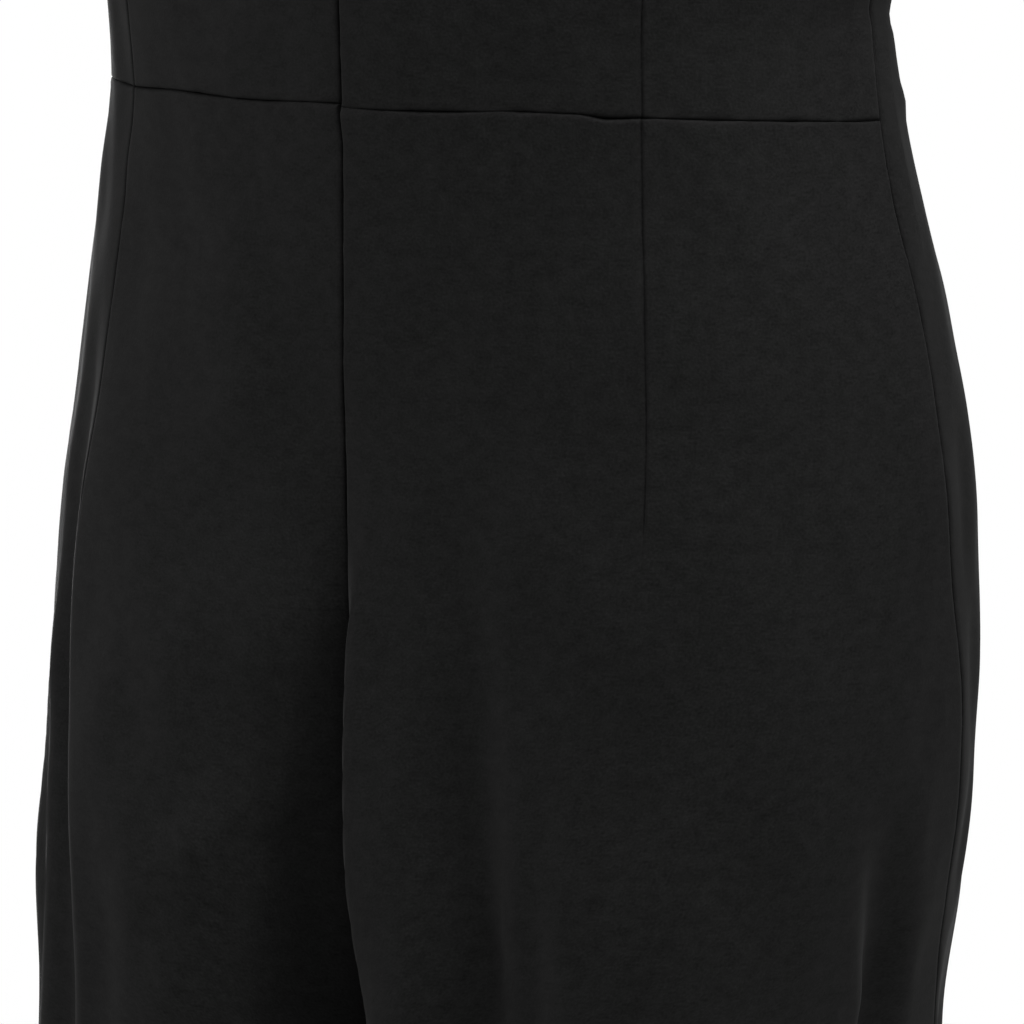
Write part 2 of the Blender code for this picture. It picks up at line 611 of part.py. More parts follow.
def zip_pull(frame, metal):
    """A flat tab with an eye at its top, hung on the bridge. Its origin is on its hinge."""
    right = [(edge.width * PULL_WIDTH / 2, -edge.drop * PULL_LENGTH) for edge in PULL_EDGE]
    left = [(-x, z) for x, z in reversed(right[:-1])]
    low = -PULL_THICKNESS / 2
    tab = prism("zip_pull", [(x, low, z) for x, z in right + left], (0, PULL_THICKNESS, 0), metal)
    eye = PULL_EYE_WIDTH / 2
    eye_end = low - PULL_EYE_LENGTH
    hole = [(-eye, low), (eye, low), (eye, eye_end), (-eye, eye_end)]
    hole = [(x, -PULL_THICKNESS, z) for x, z in hole]
    cutter = prism("zip_pull_eye", hole, (0, 2 * PULL_THICKNESS, 0), metal)
    cutter.hide_render = True
    cutter.display_type = "WIRE"
    cut = tab.modifiers.new("eye", "BOOLEAN")
    cut.operation = "DIFFERENCE"
    cut.object = cutter
    hinge = frame @ Matrix.Translation((0, pull_axis_out(), 0))
    tab.matrix_world = hinge
    cutter.matrix_world = hinge
    return tab


def prism(name, outline, thickness, material_used):
    """A plate with this flat outline, as thick as this vector."""
    mesh = bmesh.new()
    face = mesh.faces.new([mesh.verts.new(corner) for corner in outline])
    grown = bmesh.ops.extrude_face_region(mesh, geom=[face])["geom"]
    moved = [v for v in grown if isinstance(v, bmesh.types.BMVert)]
    bmesh.ops.translate(mesh, verts=moved, vec=thickness)
    return finish(name, mesh, material_used)


def main():
    for obj in list(bpy.data.objects):
        bpy.data.objects.remove(obj, do_unlink=True)
    fabric = material("black_crepe", (0.012, 0.012, 0.013), 0.85, 0.0)
    tape = material("zip_tape", (0.010, 0.010, 0.010), 0.9, 0.0)
    metal = material("zip_metal", (0.020, 0.020, 0.021), 0.35, 0.8)
    for side in (1, -1):
        front(side, fabric)
        bodice_back(side, fabric)
        trouser_back(side, fabric)
        zip_tape(side, tape)
    frame = zip_frame()
    zip_slider(frame, metal)
    zip_pull(frame, metal)


main()
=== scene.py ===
"""Looks for the sleeveless black crepe jumpsuit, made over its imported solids.

Metres and degrees in the solids' frame: +Z up, the front faces -Y, the wearer's left is +X.

Every panel of cloth is a stretch of one surface, cloth(side, turn, level):
  side   +1 is the wearer's left half, -1 the right half
  turn   degrees round the half, from 0 at the centre back (or inseam) to 180 at the centre front
  level  distance below the waist seam; above the chest it runs on along the cloth, over the shoulder
"""

import math
from collections import namedtuple

import bpy
import numpy as np
from mathutils import Matrix, Vector


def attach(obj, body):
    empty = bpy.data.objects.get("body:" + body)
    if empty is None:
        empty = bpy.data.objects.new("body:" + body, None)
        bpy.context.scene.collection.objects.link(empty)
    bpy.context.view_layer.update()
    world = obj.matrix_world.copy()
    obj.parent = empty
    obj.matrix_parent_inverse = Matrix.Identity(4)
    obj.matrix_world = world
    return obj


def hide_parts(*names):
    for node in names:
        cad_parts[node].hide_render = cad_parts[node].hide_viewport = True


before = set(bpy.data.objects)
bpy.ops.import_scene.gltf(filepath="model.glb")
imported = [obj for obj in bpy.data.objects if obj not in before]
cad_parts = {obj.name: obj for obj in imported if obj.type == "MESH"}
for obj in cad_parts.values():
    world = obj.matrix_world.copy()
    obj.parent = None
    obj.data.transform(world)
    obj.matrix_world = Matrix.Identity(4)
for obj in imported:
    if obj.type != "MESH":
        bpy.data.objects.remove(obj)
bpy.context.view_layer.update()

# Lengths along the body
WAIST_DROP = 0.420
CROTCH_LEVEL = 0.315
HEM_LEVEL = 1.065
CHEST_LEVEL = -0.285
UNDERARM_LEVEL = -0.215
SHOULDER_ARC = 0.120
SHOULDER_LEVEL = CHEST_LEVEL - SHOULDER_ARC * math.pi / 2
SHOULDER_SLOPE = math.tan(math.radians(21.0))
SHOULDER_Y = -0.005
NECK_HALF_WIDTH = 0.070
SHOULDER_TIP_X = 0.160
BACK_NECK_LEVEL = -0.372
FRONT_NECK_LEVEL = -0.318
ARMHOLE_SIDE = (56.0, -0.330)
ARMHOLE_FLOOR = 24.0
ZIP_END_LEVEL = 0.075

# The cloth and its joins
CLOTH = 0.00095
SEAM_GAP = 0.0003
FRONT_SEAM_GAP = 0.00003
FRONT_GAP_TURNS = (120.0, 160.0)
MIDDLE_REACH_TURN = 0.5
CROTCH_JOIN = 0.004
WAIST_TILT = 0.025
WAIST_TILT_REACH = 0.16
NORMAL_TURN = 3.0
NORMAL_LEVEL = 0.004

# The trouser halves part below the seat: how far down the cloth starts to run in, at the back and the front
BACK_PARTS_LEVEL = 0.086
FRONT_PARTS_LEVEL = 0.190
OUTSIDE_PARTS_LEVEL = 0.062
BACK_PINCH = 1.4
FRONT_PINCH = 2.0
INNER_FORMS_LEVEL = 0.370
LEG_FORMS_LEVEL = 0.400
INSEAM_TURN = 14.0
RIGHT_INSEAM_TURN = 6.0
MIDDLE_TURN = 26.0
MIDDLE_EASE = 12.0
CREASE_EASE = 6.0
LEG_CORNER = 45.0
LEG_CORNER_EASE = 5.0
INSEAM_SHARE = 0.0012
LEG_OUTER_SQUARENESS = 2.2
LEG_INNER_SQUARENESS = 3.6
LEG_INNER_SIDE = (-0.3, 0.6)

# The garment's half-sections. back and front are depths from the middle, and reach the half-widths.
Section = namedtuple("Section", "level back front reach_right reach_left squareness")
SECTIONS = (
    Section(SHOULDER_LEVEL, 0.0900, 0.080, 0.1630, 0.1650, 2.20),
    Section(CHEST_LEVEL, 0.0960, 0.098, 0.1640, 0.1660, 2.25),
    Section(UNDERARM_LEVEL, 0.1000, 0.116, 0.1600, 0.1640, 2.20),
    Section(-0.160, 0.1010, 0.124, 0.1560, 0.1610, 2.10),
    Section(-0.100, 0.0995, 0.115, 0.1440, 0.1520, 2.00),
    Section(-0.035, 0.0965, 0.099, 0.1365, 0.1462, 2.00),
    Section(0.000, 0.0946, 0.096, 0.1430, 0.1440, 2.00),
    Section(0.031, 0.0942, 0.098, 0.1510, 0.1488, 2.00),
    Section(0.064, 0.0940, 0.101, 0.1596, 0.1548, 2.00),
    Section(0.097, 0.0943, 0.104, 0.1657, 0.1598, 2.00),
    Section(0.134, 0.0965, 0.106, 0.1686, 0.1650, 2.00),
    Section(0.178, 0.1015, 0.106, 0.1682, 0.1658, 2.00),
    Section(0.216, 0.1060, 0.105, 0.1660, 0.1636, 2.00),
    Section(0.257, 0.1105, 0.104, 0.1593, 0.1600, 2.00),
    Section(0.304, 0.1115, 0.103, 0.1488, 0.1550, 2.00),
    Section(0.360, 0.1110, 0.103, 0.1445, 0.1530, 2.00),
    Section(0.600, 0.1050, 0.099, 0.1430, 0.1510, 2.00),
    Section(HEM_LEVEL, 0.1030, 0.097, 0.1460, 0.1520, 2.00),
)

# How far each leg's inner side stands from the middle
LegGap = namedtuple("LegGap", "level gap")
LEG_GAPS = (
    LegGap(CROTCH_LEVEL, 0.0),
    LegGap(0.420, 0.003),
    LegGap(0.640, 0.009),
    LegGap(HEM_LEVEL, 0.014),
)

# Lines on the cloth, as turns at levels
Stop = namedtuple("Stop", "level turn")
SIDE_SEAM = (
    Stop(UNDERARM_LEVEL, 95.0),
    Stop(-0.035, 96.0),
    Stop(0.000, 92.0),
    Stop(0.031, 90.6),
    Stop(0.130, 92.2),
    Stop(0.188, 97.5),
    Stop(0.216, 99.5),
    Stop(0.267, 104.2),
    Stop(0.304, 111.0),
    Stop(0.336, 114.4),
    Stop(0.400, 114.4),
    Stop(0.600, 107.0),
    Stop(HEM_LEVEL, 97.0),
)
BODICE_DART = (Stop(-0.170, 50.0), Stop(-0.038, 48.4), Stop(0.0, 46.3))
TROUSER_DART = (
    Stop(0.0, 46.2), Stop(0.041, 43.8), Stop(0.089, 42.0), Stop(0.146, 41.3), Stop(HEM_LEVEL, 40.0),
)  # fmt: skip
LEFT_BODICE_DART = (Stop(-0.170, 50.5), Stop(-0.038, 49.4), Stop(0.0, 48.2))
LEFT_CREASE = (
    Stop(0.0, 48.2),
    Stop(0.022, 48.6),
    Stop(0.039, 47.5),
    Stop(0.075, 46.8),
    Stop(0.112, 44.2),
    Stop(0.156, 42.5),
    Stop(0.178, 41.3),
    Stop(0.217, 38.2),
    Stop(0.255, 35.2),
    Stop(0.304, 33.6),
    Stop(0.600, 32.0),
)
LEFT_DRAPE = (
    Stop(0.150, 66.0), Stop(0.184, 59.5), Stop(0.205, 53.0), Stop(0.237, 47.0), Stop(0.270, 45.0),
    Stop(0.460, 46.0),
)  # fmt: skip
RIGHT_HOLLOW = (Stop(0.084, 10.0), Stop(0.118, 15.0), Stop(0.156, 19.2), Stop(0.204, 22.5), Stop(0.289, 26.5))
RIGHT_FURROW = (
    Stop(0.109, 15.8), Stop(0.140, 18.0), Stop(0.172, 20.2), Stop(0.204, 20.5), Stop(0.235, 21.0),
    Stop(0.287, 23.2), Stop(0.700, 25.0),
)  # fmt: skip
RIGHT_GROOVE = (
    Stop(0.142, 26.8), Stop(0.161, 28.8), Stop(0.202, 30.5), Stop(0.233, 31.0), Stop(0.286, 30.8),
    Stop(0.700, 34.0),
)  # fmt: skip
LEFT_SHADOW = (Stop(0.160, 4.0), Stop(0.192, 8.2), Stop(0.225, 10.2), Stop(0.242, 12.2), Stop(0.296, 14.0))
# The valley's edges, where the cloth turns in towards the centre seam
LEFT_VALLEY = (
    Stop(0.062, 2.5), Stop(0.112, 3.0), Stop(0.159, 4.2), Stop(0.192, 6.8), Stop(0.224, 10.0),
    Stop(0.257, 12.8), Stop(0.296, 14.6), Stop(0.480, 16.0),
)  # fmt: skip
RIGHT_VALLEY = (Stop(0.062, 2.5), Stop(0.480, 3.5))
VALLEY_ROLL = 0.002
VALLEY_STARTS = (0.045, 0.075)
VALLEY_ROLLS = (0.070, 0.130)
VALLEY_ENDS = (0.330, 0.480)
VALLEY_REACH_TURN = 60.0
LEFT_DRAG = (Stop(0.030, 35.0), Stop(0.059, 22.8), Stop(0.088, 13.2), Stop(0.124, 5.0))
SIDE_HOLLOW = (Stop(0.200, 78.0), Stop(0.239, 82.0), Stop(0.270, 86.0), Stop(0.291, 89.5), Stop(0.520, 94.0))
LEFT_ROLL = (Stop(0.171, 23.0), Stop(0.229, 17.8), Stop(0.264, 23.5), Stop(0.700, 27.0))
FRONT_DART = (
    Stop(-0.473, 142.0), Stop(-0.285, 136.0), Stop(-0.150, 133.5), Stop(0.0, 131.0), Stop(0.110, 133.0),
    Stop(HEM_LEVEL, 136.0),
)  # fmt: skip


def beside(path, turn):
    return tuple(Stop(stop.level, stop.turn + turn) for stop in path)


# Folds that run down the cloth: rise is how far one stands out (in, if negative), spread its half-width in
# degrees of turn, start and end the levels where it has faded away, path the way that it runs.
Fold = namedtuple("Fold", "side rise spread start end path")
FOLD_FADE = 0.3
FOLDS = (
    # the seat
    Fold(-1, 0.0015, 36.0, 0.030, 0.420, (Stop(0.100, 32.0), Stop(0.304, 28.0))),
    Fold(1, 0.0104, 36.0, 0.030, 0.420, (Stop(0.100, 32.0), Stop(0.304, 28.0))),
    # right back, from the centre seam outwards
    Fold(-1, -0.0110, 6.5, 0.060, 0.860, RIGHT_FURROW),
    Fold(-1, -0.0100, 9.0, 0.110, 0.860, beside(RIGHT_FURROW, 6.5)),
    Fold(-1, -0.0078, 20.0, 0.100, 0.960, beside(RIGHT_HOLLOW, -2.5)),
    Fold(-1, 0.0048, 9.0, 0.170, 0.700, (Stop(0.221, 12.5), Stop(0.285, 15.5), Stop(0.700, 13.0))),
    Fold(-1, 0.0027, 7.0, 0.150, 0.600, (Stop(0.200, 29.0), Stop(0.304, 31.0), Stop(0.600, 34.0))),
    Fold(-1, -0.0045, 5.0, 0.140, 0.800, RIGHT_GROOVE),
    Fold(-1, -0.0048, 9.0, 0.140, 0.800, beside(RIGHT_GROOVE, 6.5)),
    Fold(-1, -0.0012, 7.0, 0.220, 0.640, (Stop(0.265, 77.8), Stop(0.293, 82.2), Stop(0.640, 76.0))),
    Fold(-1, -0.0110, 8.5, 0.200, 0.520, SIDE_HOLLOW),
    Fold(-1, -0.0011, 6.0, 0.020, 0.520, beside(SIDE_SEAM, 7.0)),
    # left back
    Fold(1, 0.0011, 5.5, 0.010, 0.640, LEFT_CREASE),
    Fold(1, -0.0085, 6.0, 0.040, 0.740, beside(LEFT_CREASE, 5.5)),
    Fold(1, -0.0015, 5.0, 0.130, 0.460, LEFT_DRAPE),
    Fold(1, -0.0042, 5.5, 0.150, 0.560, beside(LEFT_DRAPE, 5.5)),
    Fold(1, 0.0020, 9.0, 0.070, 0.200, (Stop(0.120, 17.0), Stop(0.146, 16.2))),
    Fold(1, 0.0049, 8.0, 0.130, 0.700, LEFT_ROLL),
    Fold(1, 0.0051, 6.0, 0.120, 0.640, beside(LEFT_SHADOW, 5.0)),
    Fold(1, -0.0096, 8.0, 0.110, 0.400, beside(LEFT_SHADOW, -4.8)),
    Fold(1, -0.0012, 9.0, 0.020, 0.140, LEFT_DRAG),
    # fronts of the trousers
    Fold(-1, -0.0035, 9.0, 0.110, 0.780, (Stop(0.110, 151.0), Stop(0.300, 146.0), Stop(0.780, 141.0))),
    Fold(-1, 0.0030, 8.0, 0.160, 0.900, (Stop(0.160, 138.0), Stop(0.900, 131.0))),
    Fold(-1, -0.0022, 7.0, 0.240, 0.700, (Stop(0.240, 162.0), Stop(0.700, 157.0))),
    Fold(-1, -0.0020, 8.0, 0.060, 0.420, (Stop(0.060, 116.0), Stop(0.420, 122.0))),
    Fold(1, -0.0030, 9.0, 0.130, 0.840, (Stop(0.130, 154.0), Stop(0.330, 149.0), Stop(0.840, 145.0))),
    Fold(1, 0.0032, 8.5, 0.190, 0.980, (Stop(0.190, 136.0), Stop(0.980, 130.0))),
    Fold(1, -0.0024, 7.0, 0.210, 0.640, (Stop(0.210, 165.0), Stop(0.640, 160.0))),
    Fold(1, -0.0022, 8.0, 0.080, 0.500, (Stop(0.080, 113.0), Stop(0.500, 118.0))),
    # flutes of the wide hems
    Fold(-1, 0.0050, 13.0, 0.480, 1.300, (Stop(0.480, 24.0), Stop(HEM_LEVEL, 22.0))),
    Fold(-1, -0.0038, 13.0, 0.440, 1.300, (Stop(0.440, 52.0), Stop(HEM_LEVEL, 47.0))),
    Fold(-1, 0.0050, 14.0, 0.520, 1.300, (Stop(0.520, 80.0), Stop(HEM_LEVEL, 74.0))),
    Fold(-1, -0.0045, 13.0, 0.560, 1.300, (Stop(0.560, 112.0), Stop(HEM_LEVEL, 108.0))),
    Fold(-1, -0.0040, 11.0, 0.620, 1.300, (Stop(0.620, 158.0), Stop(HEM_LEVEL, 154.0))),
    Fold(1, 0.0045, 12.0, 0.520, 1.300, (Stop(0.520, 20.0), Stop(HEM_LEVEL, 18.0))),
    Fold(1, -0.0055, 14.0, 0.460, 1.300, (Stop(0.460, 60.0), Stop(HEM_LEVEL, 55.0))),
    Fold(1, 0.0050, 13.0, 0.560, 1.300, (Stop(0.560, 90.0), Stop(HEM_LEVEL, 84.0))),
    Fold(1, -0.0045, 12.0, 0.600, 1.300, (Stop(0.600, 120.0), Stop(HEM_LEVEL, 116.0))),
    Fold(1, -0.0035, 10.0, 0.660, 1.300, (Stop(0.660, 160.0), Stop(HEM_LEVEL, 157.0))),
    # the bodice
    Fold(-1, -0.0016, 8.0, -0.170, -0.010, (Stop(-0.170, 24.0), Stop(-0.010, 20.0))),
    Fold(-1, 0.0012, 8.0, -0.190, -0.020, (Stop(-0.190, 66.0), Stop(-0.020, 62.0))),
    Fold(1, -0.0014, 8.0, -0.150, -0.008, (Stop(-0.150, 27.0), Stop(-0.008, 24.0))),
    Fold(1, 0.0012, 9.0, -0.200, -0.030, (Stop(-0.200, 70.0), Stop(-0.030, 66.0))),
    Fold(-1, -0.0018, 9.0, -0.150, 0.060, (Stop(-0.150, 118.0), Stop(0.060, 114.0))),
    Fold(1, -0.0020, 9.0, -0.160, 0.050, (Stop(-0.160, 116.0), Stop(0.050, 113.0))),
    Fold(-1, -0.0020, 9.0, -0.150, 0.080, (Stop(-0.150, 158.0), Stop(0.080, 160.0))),
    Fold(1, -0.0016, 9.0, -0.140, 0.070, (Stop(-0.140, 160.0), Stop(0.070, 158.0))),
)

# Soft swells, and hollows where rise is negative, over the body's own form
Swell = namedtuple("Swell", "side rise turn level turn_spread level_spread")
SWELLS = (
    Swell(1, -0.0043, 18.0, 0.128, 9.0, 0.040),
    Swell(1, -0.0006, 28.0, 0.100, 9.0, 0.040),
    Swell(1, -0.0012, 12.0, 0.090, 8.0, 0.035),
    Swell(1, -0.0003, 34.0, 0.050, 10.0, 0.040),
    Swell(1, 0.0023, 22.0, 0.060, 9.0, 0.035),
    Swell(1, 0.0008, 30.0, 0.160, 8.0, 0.045),
    Swell(1, 0.0030, 22.0, 0.190, 8.0, 0.040),
    Swell(1, 0.0023, 13.0, 0.170, 6.0, 0.035),
    Swell(1, -0.0027, 14.0, 0.215, 7.0, 0.040),
    Swell(1, 0.0053, 26.0, 0.240, 8.0, 0.040),
    Swell(1, -0.0007, 20.0, 0.270, 7.0, 0.040),
    Swell(1, 0.0032, 33.0, 0.215, 8.0, 0.050),
    Swell(1, 0.0004, 40.0, 0.120, 9.0, 0.050),
    Swell(1, -0.0012, 8.0, 0.130, 6.0, 0.030),
    Swell(-1, 0.0020, 51.0, 0.080, 16.0, 0.060),
    Swell(-1, -0.0016, 70.0, 0.100, 16.0, 0.070),
    Swell(-1, 0.0013, 60.0, 0.170, 16.0, 0.070),
    Swell(-1, 0.0028, 36.0, 0.080, 14.0, 0.060),
    Swell(-1, 0.0032, 45.0, 0.140, 14.0, 0.060),
    Swell(-1, 0.0029, 30.0, 0.140, 10.0, 0.050),
    Swell(-1, 0.0005, 12.0, 0.060, 8.0, 0.030),
    Swell(-1, 0.0004, 20.0, 0.100, 8.0, 0.040),
    Swell(-1, -0.0027, 40.0, 0.220, 12.0, 0.060),
    Swell(-1, -0.0019, 55.0, 0.250, 12.0, 0.060),
    Swell(-1, 0.0001, 75.0, 0.200, 12.0, 0.060),
    Swell(1, 0.0001, 17.0, 0.158, 9.0, 0.034),
    Swell(1, -0.0006, 11.0, 0.130, 6.0, 0.040),
    Swell(1, -0.0016, 26.0, 0.125, 8.0, 0.040),
    Swell(-1, -0.0005, 20.0, 0.250, 8.0, 0.050),
)

# Wrinkles that run across it: spread is the half-width in metres, start and end are turns, and path gives the
# level at turns.
Mark = namedtuple("Mark", "turn level")
Wrinkle = namedtuple("Wrinkle", "side rise spread start end path")
WRINKLES = (
    # fanning from the crotch over the fronts
    Wrinkle(-1, 0.0010, 0.018, 122.0, 184.0, (Mark(122.0, 0.214), Mark(150.0, 0.258), Mark(179.0, 0.296))),
    Wrinkle(-1, -0.0011, 0.017, 126.0, 184.0, (Mark(126.0, 0.240), Mark(153.0, 0.280), Mark(179.0, 0.309))),
    Wrinkle(-1, 0.0008, 0.016, 136.0, 182.0, (Mark(136.0, 0.192), Mark(178.0, 0.262))),
    Wrinkle(1, 0.0010, 0.018, 126.0, 184.0, (Mark(126.0, 0.222), Mark(152.0, 0.262), Mark(179.0, 0.292))),
    Wrinkle(1, -0.0010, 0.017, 130.0, 184.0, (Mark(130.0, 0.250), Mark(155.0, 0.284), Mark(179.0, 0.307))),
    Wrinkle(1, -0.0007, 0.016, 118.0, 160.0, (Mark(118.0, 0.168), Mark(160.0, 0.206))),
    # under the seat and behind the knees
    Wrinkle(-1, -0.0018, 0.013, -4.0, 62.0, (Mark(4.0, 0.346), Mark(30.0, 0.356), Mark(60.0, 0.338))),
    Wrinkle(1, -0.0016, 0.013, -4.0, 56.0, (Mark(4.0, 0.350), Mark(28.0, 0.362), Mark(54.0, 0.348))),
    Wrinkle(-1, -0.0016, 0.020, 0.0, 92.0, (Mark(0.0, 0.606), Mark(44.0, 0.624), Mark(90.0, 0.602))),
    Wrinkle(-1, 0.0014, 0.019, 6.0, 84.0, (Mark(6.0, 0.636), Mark(50.0, 0.650), Mark(84.0, 0.638))),
    Wrinkle(-1, -0.0012, 0.018, 20.0, 76.0, (Mark(20.0, 0.676), Mark(76.0, 0.668))),
    Wrinkle(1, -0.0015, 0.020, 0.0, 88.0, (Mark(0.0, 0.620), Mark(40.0, 0.634), Mark(88.0, 0.610))),
    Wrinkle(1, 0.0013, 0.019, 10.0, 80.0, (Mark(10.0, 0.652), Mark(80.0, 0.648))),
    Wrinkle(1, -0.0011, 0.018, 24.0, 90.0, (Mark(24.0, 0.590), Mark(90.0, 0.572))),
    # over the knees and the shoes
    Wrinkle(-1, 0.0016, 0.016, 104.0, 176.0, (Mark(104.0, 0.590), Mark(176.0, 0.570))),
    Wrinkle(1, 0.0016, 0.016, 110.0, 178.0, (Mark(110.0, 0.600), Mark(178.0, 0.585))),
    Wrinkle(-1, -0.0024, 0.018, 96.0, 180.0, (Mark(96.0, 1.006), Mark(140.0, 0.986), Mark(180.0, 0.996))),
    Wrinkle(1, -0.0022, 0.018, 100.0, 182.0, (Mark(100.0, 0.998), Mark(144.0, 0.980), Mark(182.0, 0.992))),
    # waist and underarm
    Wrinkle(-1, -0.0011, 0.008, 70.0, 124.0, (Mark(70.0, -0.026), Mark(96.0, -0.034), Mark(124.0, -0.022))),
    Wrinkle(-1, 0.0008, 0.007, 98.0, 140.0, (Mark(98.0, -0.006), Mark(140.0, 0.004))),
    Wrinkle(1, -0.0012, 0.008, 74.0, 130.0, (Mark(74.0, -0.022), Mark(98.0, -0.030), Mark(130.0, -0.018))),
    Wrinkle(1, 0.0008, 0.007, 100.0, 146.0, (Mark(100.0, 0.010), Mark(146.0, 0.002))),
    Wrinkle(-1, 0.0014, 0.010, 98.0, 134.0, (Mark(98.0, -0.206), Mark(134.0, -0.240))),
    Wrinkle(1, 0.0012, 0.010, 98.0, 132.0, (Mark(98.0, -0.208), Mark(132.0, -0.236))),
    Wrinkle(-1, 0.0010, 0.010, 60.0, 96.0, (Mark(60.0, -0.236), Mark(96.0, -0.206))),
    Wrinkle(1, 0.0010, 0.010, 58.0, 96.0, (Mark(58.0, -0.232), Mark(96.0, -0.208))),
)
BUST_DARTS = (
    Wrinkle(-1, -0.0007, 0.0017, 70.0, 131.0, (Mark(94.0, -0.190), Mark(131.0, -0.166))),
    Wrinkle(1, -0.0007, 0.0017, 70.0, 131.0, (Mark(94.0, -0.190), Mark(131.0, -0.166))),
)

# Slow unevenness of the whole cloth: waves in turns round the half and metres down it
Ripple = namedtuple("Ripple", "rise round_it down_it phase")
RIPPLES = (
    Ripple(0.00030, 31.0, 0.210, 0.4),
    Ripple(0.00024, 19.0, -0.150, 2.1),
    Ripple(0.00016, 13.0, 0.083, 4.0),
    Ripple(0.00012, -23.0, 0.061, 1.2),
    Ripple(0.00008, 8.5, 0.112, 5.3),
)

# The waist seam's small waves, as shifts up at turns
Shift = namedtuple("Shift", "turn up")
WAIST_WAVES_RIGHT = (
    Shift(0.0, -0.0003), Shift(3.0, -0.0004), Shift(8.0, -0.0007), Shift(18.0, -0.0002), Shift(24.0, 0.0004),
    Shift(29.0, 0.0011), Shift(37.5, 0.0010), Shift(41.5, -0.0002), Shift(46.0, 0.0003), Shift(60.0, 0.0),
    Shift(91.0, -0.0010),
)  # fmt: skip
WAIST_WAVES_LEFT = (
    Shift(0.0, 0.0006), Shift(6.0, 0.0006), Shift(20.0, -0.0004), Shift(34.0, 0.0003), Shift(48.0, -0.0006),
    Shift(60.0, 0.0002), Shift(90.0, 0.0),
)  # fmt: skip
WAIST_WAVE_REACH = 0.016
WAVES_END = (92.0, 108.0)

# How hard the waist seam is drawn in at turns
Draw = namedtuple("Draw", "turn share")
WAIST_DRAW_RIGHT = (
    Draw(0.0, 0.15), Draw(4.0, 0.2), Draw(6.5, 0.6), Draw(13.0, 1.1), Draw(21.0, 1.4), Draw(23.0, 1.0),
    Draw(24.5, 0.3), Draw(27.5, 0.25), Draw(29.5, 0.7), Draw(37.0, 0.9), Draw(41.0, 1.5), Draw(45.5, 1.4),
    Draw(48.0, 0.8), Draw(55.0, 0.6), Draw(63.0, 0.8), Draw(75.0, 0.7), Draw(92.0, 0.9),
)  # fmt: skip
WAIST_DRAW_LEFT = (
    Draw(0.0, 0.8), Draw(6.0, 0.6), Draw(16.0, 0.9), Draw(30.0, 1.1), Draw(50.0, 0.9), Draw(58.0, 0.4),
    Draw(92.0, 0.8),
)  # fmt: skip

# The centre seam's small jog where the waist seams cross it: to the wearer's left, at levels
Jog = namedtuple("Jog", "level left")
CENTRE_JOG = (
    Jog(-0.030, 0.0), Jog(-0.002, 0.0001), Jog(0.0025, 0.0009), Jog(0.0065, 0.0008), Jog(0.0125, -0.0002),
    Jog(0.025, -0.0001), Jog(0.060, 0.0),
)  # fmt: skip
JOG_REACH = 0.010


def along(rows, column, at, key="level"):
    """A table's column at any level, on a smooth curve that never overshoots its rows."""
    knots = np.array([getattr(row, key) for row in rows])
    values = np.array([getattr(row, column) for row in rows])
    steps = np.diff(knots)
    slopes = np.diff(values) / steps
    product = slopes[:-1] * slopes[1:]
    total = np.where(product > 0, slopes[:-1] + slopes[1:], 1.0)
    inner = np.where(product > 0, 2 * product / total, 0.0)
    tangents = np.concatenate([slopes[:1], inner, slopes[-1:]])
    at = np.clip(at, knots[0], knots[-1])
    cell = np.clip(np.searchsorted(knots, at, side="right") - 1, 0, len(steps) - 1)
    share = (at - knots[cell]) / steps[cell]
    rest = 1 - share
    ends = values[cell] * (1 + 2 * share) * rest**2 + values[cell + 1] * (3 - 2 * share) * share**2
    return ends + steps[cell] * share * rest * (tangents[cell] * rest - tangents[cell + 1] * share)


def ease(low, high, at):
    """0 below low, 1 above high, and smooth between."""
    share = np.clip((at - low) / (high - low), 0, 1)
    return share * share * (3 - 2 * share)


def pinch(start, power, width, level, from_seam):
    """How far the trouser half has closed: fast at its seam, and more gently beside it."""
    share = np.clip((level - start) / (CROTCH_LEVEL - start), 0, 1)
    at_seam = 1 - ease(0, width, from_seam)
    beside_seam = ease(start, INNER_FORMS_LEVEL, level) ** 4
    return (1 - np.sqrt(1 - share**power)) * at_seam + beside_seam * (1 - at_seam)


def leg_share(side, turn, level):
    """How far the half-section has become a leg: it closes fast near the middle, slowly round the outside."""
    from_seam = np.minimum(turn, 180 - turn)
    inner = np.where(
        turn < 90,
        pinch(BACK_PARTS_LEVEL, BACK_PINCH, INSEAM_TURN if side > 0 else RIGHT_INSEAM_TURN, level, from_seam),
        pinch(FRONT_PARTS_LEVEL, FRONT_PINCH, INSEAM_TURN, level, from_seam),
    )
    outer = ease(OUTSIDE_PARTS_LEVEL, LEG_FORMS_LEVEL, level)
    near = 1 - ease(0, MIDDLE_TURN, from_seam)
    return inner * near + outer * (1 - near)


def reach(side, level):
    return along(SECTIONS, "reach_left" if side > 0 else "reach_right", level)


def half_ring(side, turn, level):
    """The half-section round the body: (out, back) from the middle."""
    from_seam = np.minimum(turn, 180 - turn)
    eased = np.hypot(from_seam, CREASE_EASE) - CREASE_EASE
    angle = np.radians(eased * 90 / (math.hypot(90, CREASE_EASE) - CREASE_EASE))
    power = 2 / along(SECTIONS, "squareness", level)
    depth = np.where(turn < 90, along(SECTIONS, "back", level), -along(SECTIONS, "front", level))
    return reach(side, level) * np.sin(angle) ** power, depth * np.maximum(np.cos(angle), 0) ** power


